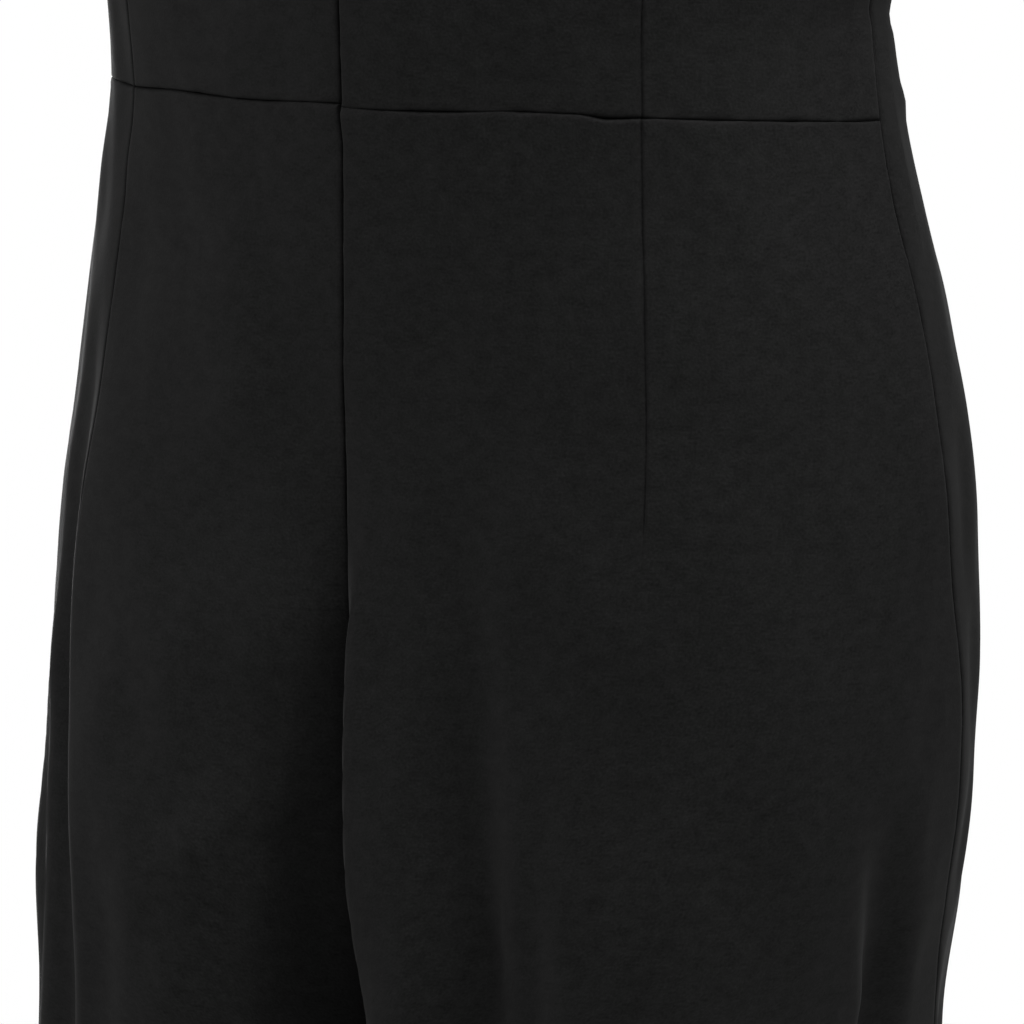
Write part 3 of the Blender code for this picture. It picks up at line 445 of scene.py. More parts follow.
def leg_ring(side, turn, level):
    """The closed section of one leg, from its inseam round the back and the front to its inseam."""
    from_seam = np.minimum(turn, 180 - turn)
    corner = LEG_CORNER * (1 - np.exp(-from_seam / LEG_CORNER_EASE))
    angle = 180 * (1 - INSEAM_SHARE) - (180 - LEG_CORNER) * from_seam / 90 - corner
    angle = np.radians(np.maximum(angle, 0))
    gap = along(LEG_GAPS, "gap", level)
    width = (reach(side, level) - gap) / 2
    back = along(SECTIONS, "back", level)
    front = along(SECTIONS, "front", level)
    depth = (back + front) / 2
    inner = ease(*LEG_INNER_SIDE, -np.cos(angle))
    power = LEG_OUTER_SQUARENESS + (LEG_INNER_SQUARENESS - LEG_OUTER_SQUARENESS) * inner
    across = np.abs(np.cos(angle)) / width
    behind = np.abs(np.sin(angle)) / depth
    radius = (across**power + behind**power) ** (-1 / power)
    sign = np.where(turn < 90, 1, -1)
    return gap + width + radius * np.cos(angle), (back - front) / 2 + sign * radius * np.sin(angle)


def section(side, turn, level):
    """The half-section as it closes to a leg: (out, back) from the middle."""
    out, back = half_ring(side, turn, level)
    leg_out, leg_back = leg_ring(side, turn, level)
    closed = leg_share(side, turn, level)
    return out * (1 - closed) + leg_out * closed, back * (1 - closed) + leg_back * closed


def with_valley(side, turn, level, back):
    """The depth once the cloth runs straight from the valley's edge down to the seam."""
    edge = along(LEFT_VALLEY if side > 0 else RIGHT_VALLEY, "turn", level)
    at_seam = section(side, np.zeros_like(edge), level)[1]
    at_edge = section(side, edge, level)[1]
    share = turn / edge
    wall = at_seam + (at_edge - at_seam) * share
    roll = VALLEY_ROLL * np.clip(share, 0, 1) * ease(*VALLEY_ROLLS, level)
    lower = (wall + back - np.sqrt((wall - back) ** 2 + roll**2)) / 2
    held = ease(*VALLEY_STARTS, level) * (1 - ease(*VALLEY_ENDS, level)) * (turn < VALLEY_REACH_TURN)
    return back + (lower - back) * held


def half_gap(turn):
    """Half the gap between the sides. The front's is all but shut, so that no light shows through both."""
    return (SEAM_GAP + (FRONT_SEAM_GAP - SEAM_GAP) * ease(*FRONT_GAP_TURNS, turn)) / 2


def smooth_cloth(side, turn, level):
    """The surface without its folds, as an array of points."""
    turn, level = np.broadcast_arrays(turn, level)
    out, back = section(side, turn, level)
    back = with_valley(side, turn, level, back)
    lift = np.clip((CHEST_LEVEL - level) / SHOULDER_ARC, 0, math.pi / 2)
    chest_z = -(WAIST_DROP + CHEST_LEVEL)
    shoulder_z = SHOULDER_SLOPE * (NECK_HALF_WIDTH - out)
    z = np.where(lift > 0, chest_z + (shoulder_z - chest_z) * np.sin(lift), -(WAIST_DROP + level))
    z = z + WAIST_TILT * side * out * np.exp(-((level / WAIST_TILT_REACH) ** 2))
    waves = along(WAIST_WAVES_LEFT if side > 0 else WAIST_WAVES_RIGHT, "up", turn, "turn")
    z = z + waves * np.exp(-((level / WAIST_WAVE_REACH) ** 2)) * (1 - ease(*WAVES_END, turn))
    back = SHOULDER_Y + (back - SHOULDER_Y) * np.cos(lift)
    return np.stack([side * (out + half_gap(turn)), back, z], axis=-1)


def directions(surface, side, turn, level):
    """Unit vectors out of the surface. On a seam between the two sides they lie in the seam's plane."""
    before, after = np.clip(turn - NORMAL_TURN, 0, 180), np.clip(turn + NORMAL_TURN, 0, 180)
    above = np.maximum(level - NORMAL_LEVEL, SHOULDER_LEVEL)
    below = np.minimum(level + NORMAL_LEVEL, HEM_LEVEL)
    round_it = surface(side, after, level) - surface(side, before, level)
    down = surface(side, turn, below) - surface(side, turn, above)
    normal = np.cross(round_it, down) * side
    at_middle = (turn < MIDDLE_REACH_TURN) | (turn > 180 - MIDDLE_REACH_TURN)
    normal[..., 0] = np.where(at_middle, side * np.minimum(side * normal[..., 0], 0), normal[..., 0])
    normal /= np.linalg.norm(normal, axis=-1, keepdims=True)
    in_plane = np.cross((1.0, 0.0, 0.0), down) * np.where(turn < 90, 1, -1)[..., None]
    in_plane /= np.linalg.norm(in_plane, axis=-1, keepdims=True)
    above_crotch = 1 - ease(CROTCH_LEVEL - CROTCH_JOIN, CROTCH_LEVEL + CROTCH_JOIN, level)
    sewn_to_other = (at_middle * above_crotch)[..., None]
    normal = normal * (1 - sewn_to_other) + in_plane * sewn_to_other
    normal[..., 1] = np.where(level < SHOULDER_LEVEL + 0.001, 0, normal[..., 1])
    return normal / np.linalg.norm(normal, axis=-1, keepdims=True)


def fold_rise(side, turn, level):
    total = np.zeros(np.broadcast(turn, level).shape)
    for fold in FOLDS:
        if fold.side != side:
            continue
        away = np.clip((turn - along(fold.path, "turn", level)) / fold.spread, -1, 1)
        fade = (fold.end - fold.start) * FOLD_FADE
        strength = ease(fold.start, fold.start + fade, level) * (1 - ease(fold.end - fade, fold.end, level))
        total = total + fold.rise * strength * np.cos(away * math.pi / 2) ** 2
    for swell in SWELLS:
        if swell.side == side:
            across = np.clip((turn - swell.turn) / swell.turn_spread, -1, 1)
            down = np.clip((level - swell.level) / swell.level_spread, -1, 1)
            total = total + swell.rise * (np.cos(across * math.pi / 2) * np.cos(down * math.pi / 2)) ** 2
    for wrinkle in WRINKLES:
        total = total + wrinkle_rise(wrinkle, side, turn, level)
    for ripple in RIPPLES:
        total = total + ripple.rise * np.sin(
            2 * math.pi * (turn / ripple.round_it + level / ripple.down_it) + ripple.phase * (2 + side)
        )
    return total * ease(0, MIDDLE_EASE, np.minimum(turn, 180 - turn))


def wrinkle_rise(wrinkle, side, turn, level):
    if wrinkle.side != side:
        return 0
    away = np.clip((level - along(wrinkle.path, "level", turn, "turn")) / wrinkle.spread, -1, 1)
    fade = (wrinkle.end - wrinkle.start) * FOLD_FADE
    strength = ease(wrinkle.start, wrinkle.start + fade, turn)
    strength = strength * (1 - ease(wrinkle.end - fade, wrinkle.end, turn))
    return wrinkle.rise * strength * np.cos(away * math.pi / 2) ** 2


def cloth(side, turn, level):
    """The outer surface of the cloth, before its seams are sewn in."""
    out = directions(smooth_cloth, side, turn, level)
    points = smooth_cloth(side, turn, level) + out * fold_rise(side, turn, level)[..., None]
    from_middle = np.maximum(side * points[..., 0], half_gap(turn))
    jog = along(CENTRE_JOG, "left", level) * np.exp(-((from_middle / JOG_REACH) ** 2)) * (turn < 90)
    points[..., 0] = side * from_middle + jog
    return points


def side_seam(level):
    return along(SIDE_SEAM, "turn", level)


def bezier(points, share):
    """A cubic curve through the first and last of four points, as an array."""
    share = share[:, None]
    rest = 1 - share
    a, b, c, d = (np.array(point) for point in points)
    return a * rest**3 + 3 * b * share * rest**2 + 3 * c * share**2 * rest + d * share**3


def turn_of_out(side, out, level):
    """The turn at which the half-section above the waist is this far out."""
    power = along(SECTIONS, "squareness", level) / 2
    angle = float(np.degrees(np.arcsin((out / reach(side, level)) ** power)))
    eased = angle * (math.hypot(90, CREASE_EASE) - CREASE_EASE) / 90
    return math.sqrt((eased + CREASE_EASE) ** 2 - CREASE_EASE**2)


# The bodice's rows run from the waist, 0, to the shoulder seam, 1
NECK_CORNER = 0.70
UNDERARM_CORNER = 0.50


def bodice_edges(side, is_front, share):
    """(turn, level) of the middle edge and of the outer edge of a bodice half, at each row."""
    top = SHOULDER_LEVEL + SEAM_GAP
    neck_level = FRONT_NECK_LEVEL if is_front else BACK_NECK_LEVEL
    neck_turn = turn_of_out(side, NECK_HALF_WIDTH, SHOULDER_LEVEL)
    tip_turn = turn_of_out(side, SHOULDER_TIP_X, SHOULDER_LEVEL)
    up = np.clip(share / NECK_CORNER, 0, 1)
    round_neck = np.radians(90 * np.clip((share - NECK_CORNER) / (1 - NECK_CORNER), 0, 1))
    neck_edge_level = top + (neck_level - top) * np.cos(round_neck)
    middle_level = np.where(share < NECK_CORNER, up * neck_level, neck_edge_level)
    middle_turn = neck_turn * np.sin(round_neck)
    outer_level = np.clip(share / UNDERARM_CORNER, 0, 1) * UNDERARM_LEVEL
    outer_turn = side_seam(outer_level)
    underarm_turn = float(side_seam(UNDERARM_LEVEL))
    if is_front:
        outer_turn = 180 - outer_turn
        underarm_turn = 180 - underarm_turn
    round_arm = np.clip((share - UNDERARM_CORNER) / (1 - UNDERARM_CORNER), 0, 1)
    floor = (underarm_turn - ARMHOLE_FLOOR, UNDERARM_LEVEL)
    armhole = bezier(((underarm_turn, UNDERARM_LEVEL), floor, ARMHOLE_SIDE, (tip_turn, top)), round_arm)
    at_armhole = share > UNDERARM_CORNER
    outer_level = np.where(at_armhole, armhole[:, 1], outer_level)
    outer_turn = np.where(at_armhole, armhole[:, 0], outer_turn)
    if is_front:
        middle_turn, outer_turn = 180 - middle_turn, 180 - outer_turn
    return middle_turn, middle_level, outer_turn, outer_level


# How a panel ends at a seam or at a turned edge: along is the way in from the edge, sink how far the cloth
# has turned inwards there, inner_ the same for its inner face, and the last how much painted shade darkens
# it.
EdgePoint = namedtuple("EdgePoint", "along sink inner_along inner_sink sewn")
SEAM_EDGE = (
    EdgePoint(0.00000, 0.00220, 0.0010, 0.00220, 1.0),
    EdgePoint(0.00012, 0.00125, 0.0010, 0.00215, 1.0),
    EdgePoint(0.00020, 0.00080, 0.0011, 0.00210, 1.0),
    EdgePoint(0.00040, 0.00046, 0.0014, 0.00205, 0.8),
    EdgePoint(0.00070, 0.00024, 0.0018, 0.00200, 0.4),
    EdgePoint(0.00115, 0.00008, 0.0022, 0.00195, 0.1),
    EdgePoint(0.00180, 0.00000, 0.0028, 0.00190, 0.0),
    EdgePoint(0.00320, 0.00000, 0.0040, 0.00190, 0.0),
    EdgePoint(0.01200, 0.00000, 0.0120, 0.00190, 0.0),
    EdgePoint(0.01280, 0.00000, 0.0128, CLOTH, 0.0),
)
# The trousers' top edge, which rolls over the waist seam
WAIST_EDGE = SEAM_EDGE[:3] + (
    EdgePoint(0.00036, 0.00034, 0.0014, 0.00205, 0.8),
    EdgePoint(0.00060, 0.00004, 0.0018, 0.00200, 0.3),
    EdgePoint(0.00100, -0.00014, 0.0022, 0.00195, 0.1),
    EdgePoint(0.00180, -0.00018, 0.0028, 0.00190, 0.0),
    EdgePoint(0.00360, -0.00010, 0.0040, 0.00190, 0.0),
) + SEAM_EDGE[8:]  # fmt: skip
TURNED_EDGE = (
    EdgePoint(0.00000, 0.00110, 0.0001, 0.00135, 0.0),
    EdgePoint(0.00006, 0.00075, 0.0002, 0.00160, 0.0),
    EdgePoint(0.00020, 0.00042, 0.0003, 0.00180, 0.0),
    EdgePoint(0.00045, 0.00020, 0.0005, 0.00190, 0.0),
    EdgePoint(0.00080, 0.00007, 0.0009, 0.00195, 0.0),
    EdgePoint(0.00130, 0.00000, 0.0013, 0.00195, 0.0),
    EdgePoint(0.00200, 0.00000, 0.0020, 0.00195, 0.0),
    EdgePoint(0.00320, 0.00000, 0.0032, 0.00195, 0.0),
    EdgePoint(0.01200, 0.00000, 0.0120, 0.00195, 0.0),
    EdgePoint(0.01280, 0.00000, 0.0128, CLOTH, 0.0),
)
HEM_EDGE = TURNED_EDGE[:8] + (
    EdgePoint(0.03200, 0.00000, 0.0320, 0.00195, 0.0),
    # the turn-up's top stands proud, with painted shade along it
    EdgePoint(0.03300, 0.00018, 0.0330, CLOTH + 0.00018, 0.5),
)
DartPoint = namedtuple("DartPoint", "along sink sewn")
# A dart's side: the last column is the painted shade down its groove
DART_SIDE = (
    DartPoint(0.00020, 0.72, 1.0),
    DartPoint(0.00042, 0.36, 0.6),
    DartPoint(0.00075, 0.10, 0.2),
    DartPoint(0.00130, -0.06, 0.0),
    DartPoint(0.00280, 0.00, 0.0),
)
DART_SINK = 0.0006
ROUND_SAMPLES = 90

# A panel's rows: mid and out are the (turn, level) of the middle edge and the outer edge, knot is the share
# of the way across at which its dart lies, and dart how deep that is. mid_turned and out_turned say how much
# of the edge there is a turned edge and not a seam.
Rows = namedtuple("Rows", "mid_turn mid_level out_turn out_level knot dart mid_turned out_turned side_depth")


def columns_across(inner_face, turned_mid, turned_out, count_mid, count_out):
    """Where columns lie, as (fixed, per width before the dart, per width after it), with their sinks."""

    def edge(turned):
        blend = turned[:, None]
        pick = ("inner_along", "inner_sink") if inner_face else ("along", "sink")
        seam = [np.array([getattr(point, name) for point in SEAM_EDGE]) for name in (*pick, "sewn")]
        fold = [np.array([getattr(point, name) for point in TURNED_EDGE]) for name in (*pick, "sewn")]
        return [a * (1 - blend) + b * blend for a, b in zip(seam, fold, strict=True)]

    rows = len(turned_mid)
    mid, mid_sink, mid_seam_shade = edge(turned_mid)
    out, out_sink, out_seam_shade = edge(turned_out)
    dart = np.array([point.along for point in DART_SIDE])
    flat = CLOTH if inner_face else 0.0
    fixed, before, after, sink, dart_sink, sewn, dart_seam_shade = [], [], [], [], [], [], []

    def add(at, per_before, per_after, depth, dart_share=0.0, mark=0.0, dart_mark=0.0):
        fixed.append(at + np.zeros(rows))
        before.append(per_before)
        after.append(per_after)
        sink.append(depth + np.zeros(rows))
        dart_sink.append(dart_share)
        sewn.append(mark + np.zeros(rows))
        dart_seam_shade.append(dart_mark)

    for c in range(mid.shape[1]):
        add(mid[:, c], 0, 0, mid_sink[:, c], mark=mid_seam_shade[:, c])
    for share in np.linspace(0, 1, count_mid + 2)[1:-1]:
        add(mid[:, -1] * (1 - share) - dart[-1] * share, share, 0, flat)
    for point in DART_SIDE[::-1]:
        add(-point.along, 1, 0, flat, point.sink, 0.0, point.sewn)
    add(0.0, 1, 0, flat, 1.0, 0.0, 1.0)
    for point in DART_SIDE:
        add(point.along, 1, 0, flat, point.sink, 0.0, point.sewn)
    for share in np.linspace(0, 1, count_out + 2)[1:-1]:
        add(dart[-1] * (1 - share) - out[:, -1] * share, 1, share, flat)
    for c in range(out.shape[1] - 1, -1, -1):
        add(-out[:, c], 1, 1, out_sink[:, c], mark=out_seam_shade[:, c])
    return (
        np.stack(fixed, 1), np.array(before), np.array(after), np.stack(sink, 1), np.array(dart_sink),
        np.stack(sewn, 1), np.array(dart_seam_shade),
    )  # fmt: skip


def place(rows, share):
    """(turn, level) at a share of the way across each row."""
    turn = rows.mid_turn[:, None] * (1 - share) + rows.out_turn[:, None] * share
    level = rows.mid_level[:, None] * (1 - share) + rows.out_level[:, None] * share
    return turn, level


SEAM_UNEVEN = 0.45
WAIST_DRAW_REACH = 0.0025


def uneven(run):
    """How unevenly stitching draws a seam in along its run, round 0."""
    return 0.5 * np.sin(run / 0.0049 + 1.3) + 0.3 * np.sin(run / 0.0020 + 0.4) + 0.2 * np.sin(run / 0.0011)


def face_of(side, rows, row_sink, row_seam_shade, counts, inner_face):
    """One face of a panel: its points, how far it lies across and down in metres, and its painted seam shade.
    """
    samples = np.linspace(0, 1, ROUND_SAMPLES)
    knot = rows.knot[:, None]
    share = np.concatenate([knot * samples[None, :], knot + (1 - knot) * samples[None, 1:]], 1)
    points = cloth(side, *place(rows, share))
    steps = np.linalg.norm(np.diff(points, axis=1), axis=2)
    run = np.concatenate([np.zeros((len(knot), 1)), np.cumsum(steps, 1)], 1)
    before = run[:, ROUND_SAMPLES - 1]
    after = run[:, -1] - before
    plan = columns_across(inner_face, rows.mid_turned, rows.out_turned, *counts)
    fixed, per_before, per_after, sink, dart_sink, sewn, dart_seam_shade = plan
    across = fixed + per_before[None, :] * before[:, None] + per_after[None, :] * after[:, None]
    found = np.stack([np.interp(across[r], run[r], share[r]) for r in range(len(across))])
    turn, level = place(rows, found)
    depth, row_depth = sink, row_sink[:, None]
    if not inner_face:
        half = sink.shape[1] // 2
        depth = sink * (1 + SEAM_UNEVEN * uneven(level))
        depth[:, half:-1] *= rows.side_depth[:, None]
        pull = along(WAIST_DRAW_LEFT if side > 0 else WAIST_DRAW_RIGHT, "share", turn, "turn")
        near_waist = (np.abs(level) < WAIST_DRAW_REACH) & (row_seam_shade[:, None] > 0)
        row_depth = row_depth * np.where(near_waist, pull * (1 + SEAM_UNEVEN * uneven(across)), 1)
        level = level * np.where(near_waist, 1 + SEAM_UNEVEN * uneven(across), 1)
        # The painted seam shade varies along each seam, and at the waist it follows the seam's pull
        sewn = sewn * (1 + SEAM_UNEVEN * uneven(level))
        row_mark = row_seam_shade[:, None] * np.where(near_waist, np.minimum(pull, 1), 1)
    else:
        row_mark = row_seam_shade[:, None]
    depth = np.maximum(depth, row_depth) + np.minimum(row_depth, 0)
    depth = depth + dart_sink[None, :] * DART_SINK * rows.dart[:, None] * (1 + SEAM_UNEVEN * uneven(level))
    sewn = np.maximum(sewn, row_mark)
    sewn = np.maximum(sewn, dart_seam_shade[None, :] * rows.dart[:, None])
    # The bust darts' grooves get painted shade as well
    for dart in BUST_DARTS:
        pull = wrinkle_rise(dart, side, turn, level)
        depth = depth - pull
        sewn = np.maximum(sewn, pull / dart.rise * 0.8)
    points = cloth(side, turn, level) - directions(cloth, side, turn, level) * depth[..., None]
    return points, across, level, sewn


def panel(name, side, outer_rows, inner_rows, sinks, counts, finish):
    """A closed wall of cloth between its outer and its inner face."""
    outer = face_of(side, outer_rows, sinks.outer, sinks.sewn, counts, False)
    inner = face_of(side, inner_rows, sinks.inner, sinks.sewn, counts, True)
    points, faces = wall_between(outer[0], inner[0])
    across = np.concatenate([outer[1].ravel(), inner[1].ravel()])
    down = np.concatenate([outer[2].ravel(), inner[2].ravel()])
    sewn = np.concatenate([outer[3].ravel(), inner[3].ravel()])
    mesh = mesh_with_grain(name, points, faces, across, down)
    # The painted shade along seams, darts and hem, kept on the mesh for the crepe's colour to darken by
    painted_shade = mesh.attributes.new("sewn", "FLOAT", "POINT")
    painted_shade.data.foreach_set("value", sewn.astype(np.float32))
    mesh.shade_smooth()
    return set_out(mesh, finish)


def wall_between(outer, inner):
    """The points and faces of a closed wall between two grids of points, with its faces outwards."""
    height, width = outer.shape[:2]
    count = height * width
    points = np.concatenate([outer.reshape(-1, 3), inner.reshape(-1, 3)])
    index = np.arange(count).reshape(height, width)
    quads = np.stack([index[:-1, :-1], index[:-1, 1:], index[1:, 1:], index[1:, :-1]], -1).reshape(-1, 4)
    rim = np.concatenate([index[0, :-1], index[:-1, -1], index[-1, :0:-1], index[:0:-1, 0]])
    onward = np.roll(rim, -1)
    wall = np.stack([onward, rim, rim + count, onward + count], -1)
    faces = np.concatenate([quads, quads[:, ::-1] + count, wall])
    return points, faces if volume_of(points, faces) >= 0 else faces[:, ::-1]


def mesh_with_grain(name, points, faces, across, down):
    """A mesh with its grain map: each point's place across and down the flat cloth, in metres."""
    mesh = bpy.data.meshes.new(name)
    mesh.from_pydata(points.tolist(), [], faces.tolist())
    corner = np.zeros(len(mesh.loops), np.int32)
    mesh.loops.foreach_get("vertex_index", corner)
    grain = mesh.uv_layers.new(name="grain")
    places = np.stack([across[corner], -down[corner]], 1)
    grain.uv.foreach_set("vector", places.astype(np.float32).ravel())
    return mesh


def set_out(mesh, finish):
    mesh.materials.append(finish)
    piece = bpy.data.objects.new(mesh.name, mesh)
    bpy.context.scene.collection.objects.link(piece)
    return piece


def volume_of(points, faces):
    a, b, c, d = (points[faces[:, k]] for k in range(4))
    return float((a * np.cross(b, c) + a * np.cross(c, d)).sum() / 6)


Sinks = namedtuple("Sinks", "outer inner sewn")


def edge_column(edge, name):
    return np.array([getattr(point, name) for point in edge])


def name_of(side):
    return "left" if side > 0 else "right"


BODICE_RUN = 0.531
SHOULDER_RUN = 0.62


def bodice_shares(inner_face, low_edge, spacing):
    """Rows of a bodice half from the shoulder seam down to the waist, as shares, with their sinks."""
    pick = ("inner_along", "inner_sink") if inner_face else ("along", "sink")
    flat = CLOTH if inner_face else 0.0
    top = 1 - edge_column(SEAM_EDGE, pick[0]) / SHOULDER_RUN
    top_sink, top_seam_shade = edge_column(SEAM_EDGE, pick[1]), edge_column(SEAM_EDGE, "sewn")
    if low_edge is None:
        low, low_sink, low_seam_shade = np.array([0.0]), np.array([flat]), np.array([0.0])
    else:
        low = edge_column(low_edge, pick[0])[::-1] / BODICE_RUN
        low_sink, low_seam_shade = edge_column(low_edge, pick[1])[::-1], edge_column(low_edge, "sewn")[::-1]
    between = spaced(top[-1], low[0], spacing)
    share = np.concatenate([top, between, low])
    sink = np.concatenate([top_sink, np.full(len(between), flat), low_sink])
    sewn = np.concatenate([top_seam_shade, np.zeros(len(between)), low_seam_shade])
    return share, sink, sewn


def spaced(start, end, spacing):
    """Steps from start to end, both left out, that are as wide as spacing(position) asks."""
    fine = np.linspace(start, end, 2000)
    weight = np.cumsum(1 / spacing(fine)) * abs(end - start) / 2000
    count = max(int(round(weight[-1])), 2)
    return np.interp(np.linspace(0, weight[-1], count + 1)[1:-1], weight, fine)


def trouser_levels(inner_face, top_edge, spacing):
    """Rows of a trouser half from the waist down to the hem, as levels, with their sinks."""
    pick = ("inner_along", "inner_sink") if inner_face else ("along", "sink")
    flat = CLOTH if inner_face else 0.0
    low = HEM_LEVEL - edge_column(HEM_EDGE, pick[0])[::-1]
    low_sink, low_seam_shade = edge_column(HEM_EDGE, pick[1])[::-1], edge_column(HEM_EDGE, "sewn")[::-1]
    if top_edge is None:
        top, top_sink, top_seam_shade = np.zeros(0), np.zeros(0), np.zeros(0)
        between = spaced(0.0, low[0], spacing)
    else:
        top = edge_column(top_edge, pick[0])
        top_sink, top_seam_shade = edge_column(top_edge, pick[1]), edge_column(top_edge, "sewn")
        between = spaced(top[-1], low[0], spacing)
    level = np.concatenate([top, between, low])
    sink = np.concatenate([top_sink, np.full(len(between), flat), low_sink])
    sewn = np.concatenate([top_seam_shade, np.zeros(len(between)), low_seam_shade])
    return level, sink, sewn


def bodice_rows(side, is_front, share, dart_path, dart_from, dart_to):
    mid_turn, mid_level, out_turn, out_level = bodice_edges(side, is_front, share)
    mid = mid_level * 0.5 + out_level * 0.5
    knot = (along(dart_path, "turn", mid) - mid_turn) / (out_turn - mid_turn)
    knot = knot + (0.5 - knot) * ease(0.55, 0.85, share)
    dart = ease(dart_from, dart_from + 0.03, mid) * (1 - ease(dart_to - 0.03, dart_to, mid))
    mid_turned = ease(NECK_CORNER - 0.006, NECK_CORNER + 0.006, share)
    out_turned = ease(UNDERARM_CORNER - 0.006, UNDERARM_CORNER + 0.006, share)
    depth = np.ones_like(share)
    return Rows(mid_turn, mid_level, out_turn, out_level, knot, dart, mid_turned, out_turned, depth)


def trouser_rows(is_front, level, dart_path, dart_to):
    mid_turn = np.full(len(level), 180.0 if is_front else 0.0)
    out_turn = side_seam(level)
    knot = (along(dart_path, "turn", level) - mid_turn) / (out_turn - mid_turn)
    dart = 1 - ease(dart_to - 0.022, dart_to, level)
    still = np.zeros(len(level))
    depth = 1 - 0.45 * ease(0.040, 0.075, level)
    return Rows(mid_turn, level, out_turn, level, knot, dart, still, still, depth)


def stacked(upper, lower):
    return Rows(*(np.concatenate(pair) for pair in zip(upper, lower, strict=True)))


# How far apart the rows lie: closer over the seat, the bust darts and the waist
BUST_DART_SHARE = 0.411
BUST_DART_REACH = 0.027
BELOW_SEAT = (0.32, 0.48)
BELOW_CROTCH = (0.34, 0.50)


def bodice_spacing(share):
    return np.where(np.abs(share - BUST_DART_SHARE) < BUST_DART_REACH, 0.0015, 0.0072)


def back_spacing(share):
    return np.full_like(share, 0.0068)


def trouser_spacing(level):
    return 0.0028 + 0.0052 * ease(*BELOW_SEAT, level)


def front_spacing(level):
    return 0.0034 + 0.0050 * ease(*BELOW_CROTCH, level)


# The levels between which the darts are sewn. A bodice's dart runs on into the one below the waist.
BACK_DART_TOP = -0.168
BACK_DART_END = 0.146
FRONT_DART_TOP = -0.130
FRONT_DART_END = 0.105
DART_RUNS_ON = 0.9


def make_bodice_back(side, finish):
    dart = LEFT_BODICE_DART if side > 0 else BODICE_DART
    made = [bodice_shares(inner, SEAM_EDGE, back_spacing) for inner in (False, True)]
    rows = [bodice_rows(side, False, share, dart, BACK_DART_TOP, DART_RUNS_ON) for share, _, _ in made]
    sinks = Sinks(made[0][1], made[1][1], made[0][2])
    return panel(f"bodice_back_{name_of(side)}_crepe", side, *rows, sinks, (24, 24), finish)


def make_trouser_back(side, finish):
    dart = LEFT_CREASE if side > 0 else TROUSER_DART
    made = [trouser_levels(inner, WAIST_EDGE, trouser_spacing) for inner in (False, True)]
    rows = [trouser_rows(False, level, dart, BACK_DART_END) for level, _, _ in made]
    sinks = Sinks(made[0][1], made[1][1], made[0][2])
    return panel(f"trouser_back_{name_of(side)}_crepe", side, *rows, sinks, (30, 40), finish)


def make_front(side, finish):
    faces, rows = [], []
    for inner in (False, True):
        share, upper_sink, upper_seam_shade = bodice_shares(inner, None, bodice_spacing)
        level, lower_sink, lower_seam_shade = trouser_levels(inner, None, front_spacing)
        faces.append((np.concatenate([upper_sink, lower_sink]), np.concatenate([upper_seam_shade, lower_seam_shade])))
        upper = bodice_rows(side, True, share, FRONT_DART, FRONT_DART_TOP, DART_RUNS_ON)
        lower = trouser_rows(True, level, FRONT_DART, FRONT_DART_END)
        rows.append(stacked(upper, lower))
    sinks = Sinks(faces[0][0], faces[1][0], faces[0][1])
    return panel(f"front_{name_of(side)}_crepe", side, *rows, sinks, (30, 34), finish)


# Materials


def new_material(name):
    made = bpy.data.materials.new(name)
    made.use_nodes = True
    return made, made.node_tree.nodes, made.node_tree.links, made.node_tree.nodes["Principled BSDF"]


def noise(nodes, links, vector, scale, detail, roughness=0.5):
    node = nodes.new("ShaderNodeTexNoise")
    node.inputs["Scale"].default_value = scale
    node.inputs["Detail"].default_value = detail
    node.inputs["Roughness"].default_value = roughness
    links.new(vector, node.inputs["Vector"])
    return node.outputs["Fac"]


def mapped(nodes, links, vector, scale):
    node = nodes.new("ShaderNodeMapping")
    node.inputs["Scale"].default_value = scale
    links.new(vector, node.inputs["Vector"])
    return node.outputs["Vector"]


def maths(nodes, links, kind, first, second):
    node = nodes.new("ShaderNodeMath")
    node.operation = kind
    for socket, value in zip(node.inputs, (first, second)):
        if isinstance(value, (int, float)):
            socket.default_value = value
        else:
            links.new(value, socket)
    return node.outputs["Value"]


def ramp(nodes, links, value, stops):
    node = nodes.new("ShaderNodeValToRGB")
    band = node.color_ramp
    band.elements[0].position, band.elements[0].color = stops[0][0], (*stops[0][1], 1)
    band.elements[1].position, band.elements[1].color = stops[-1][0], (*stops[-1][1], 1)
    for position, colour in stops[1:-1]:
        band.elements.new(position).color = (*colour, 1)
    links.new(value, node.inputs["Fac"])
    return node.outputs["Color"]


def tint(nodes, links, shader, value, stops):
    links.new(ramp(nodes, links, value, stops), shader.inputs["Base Color"])


def weighted(nodes, links, parts, lift=0.0):
    """A sum of patterns, each times its share."""
    total = lift
    for share, pattern in parts:
        total = maths(nodes, links, "ADD", maths(nodes, links, "MULTIPLY", pattern, share), total)
    return total


def relief(nodes, links, shader, height, strength, distance):
    bump = nodes.new("ShaderNodeBump")
    bump.inputs["Strength"].default_value = strength
    bump.inputs["Distance"].default_value = distance
    links.new(height, bump.inputs["Height"])
    links.new(bump.outputs["Normal"], shader.inputs["Normal"])


def grain_map(nodes):
    uv = nodes.new("ShaderNodeUVMap")
    uv.uv_map = "grain"
    return uv.outputs["UV"]


def grey(tone):
    return (tone, tone, tone)


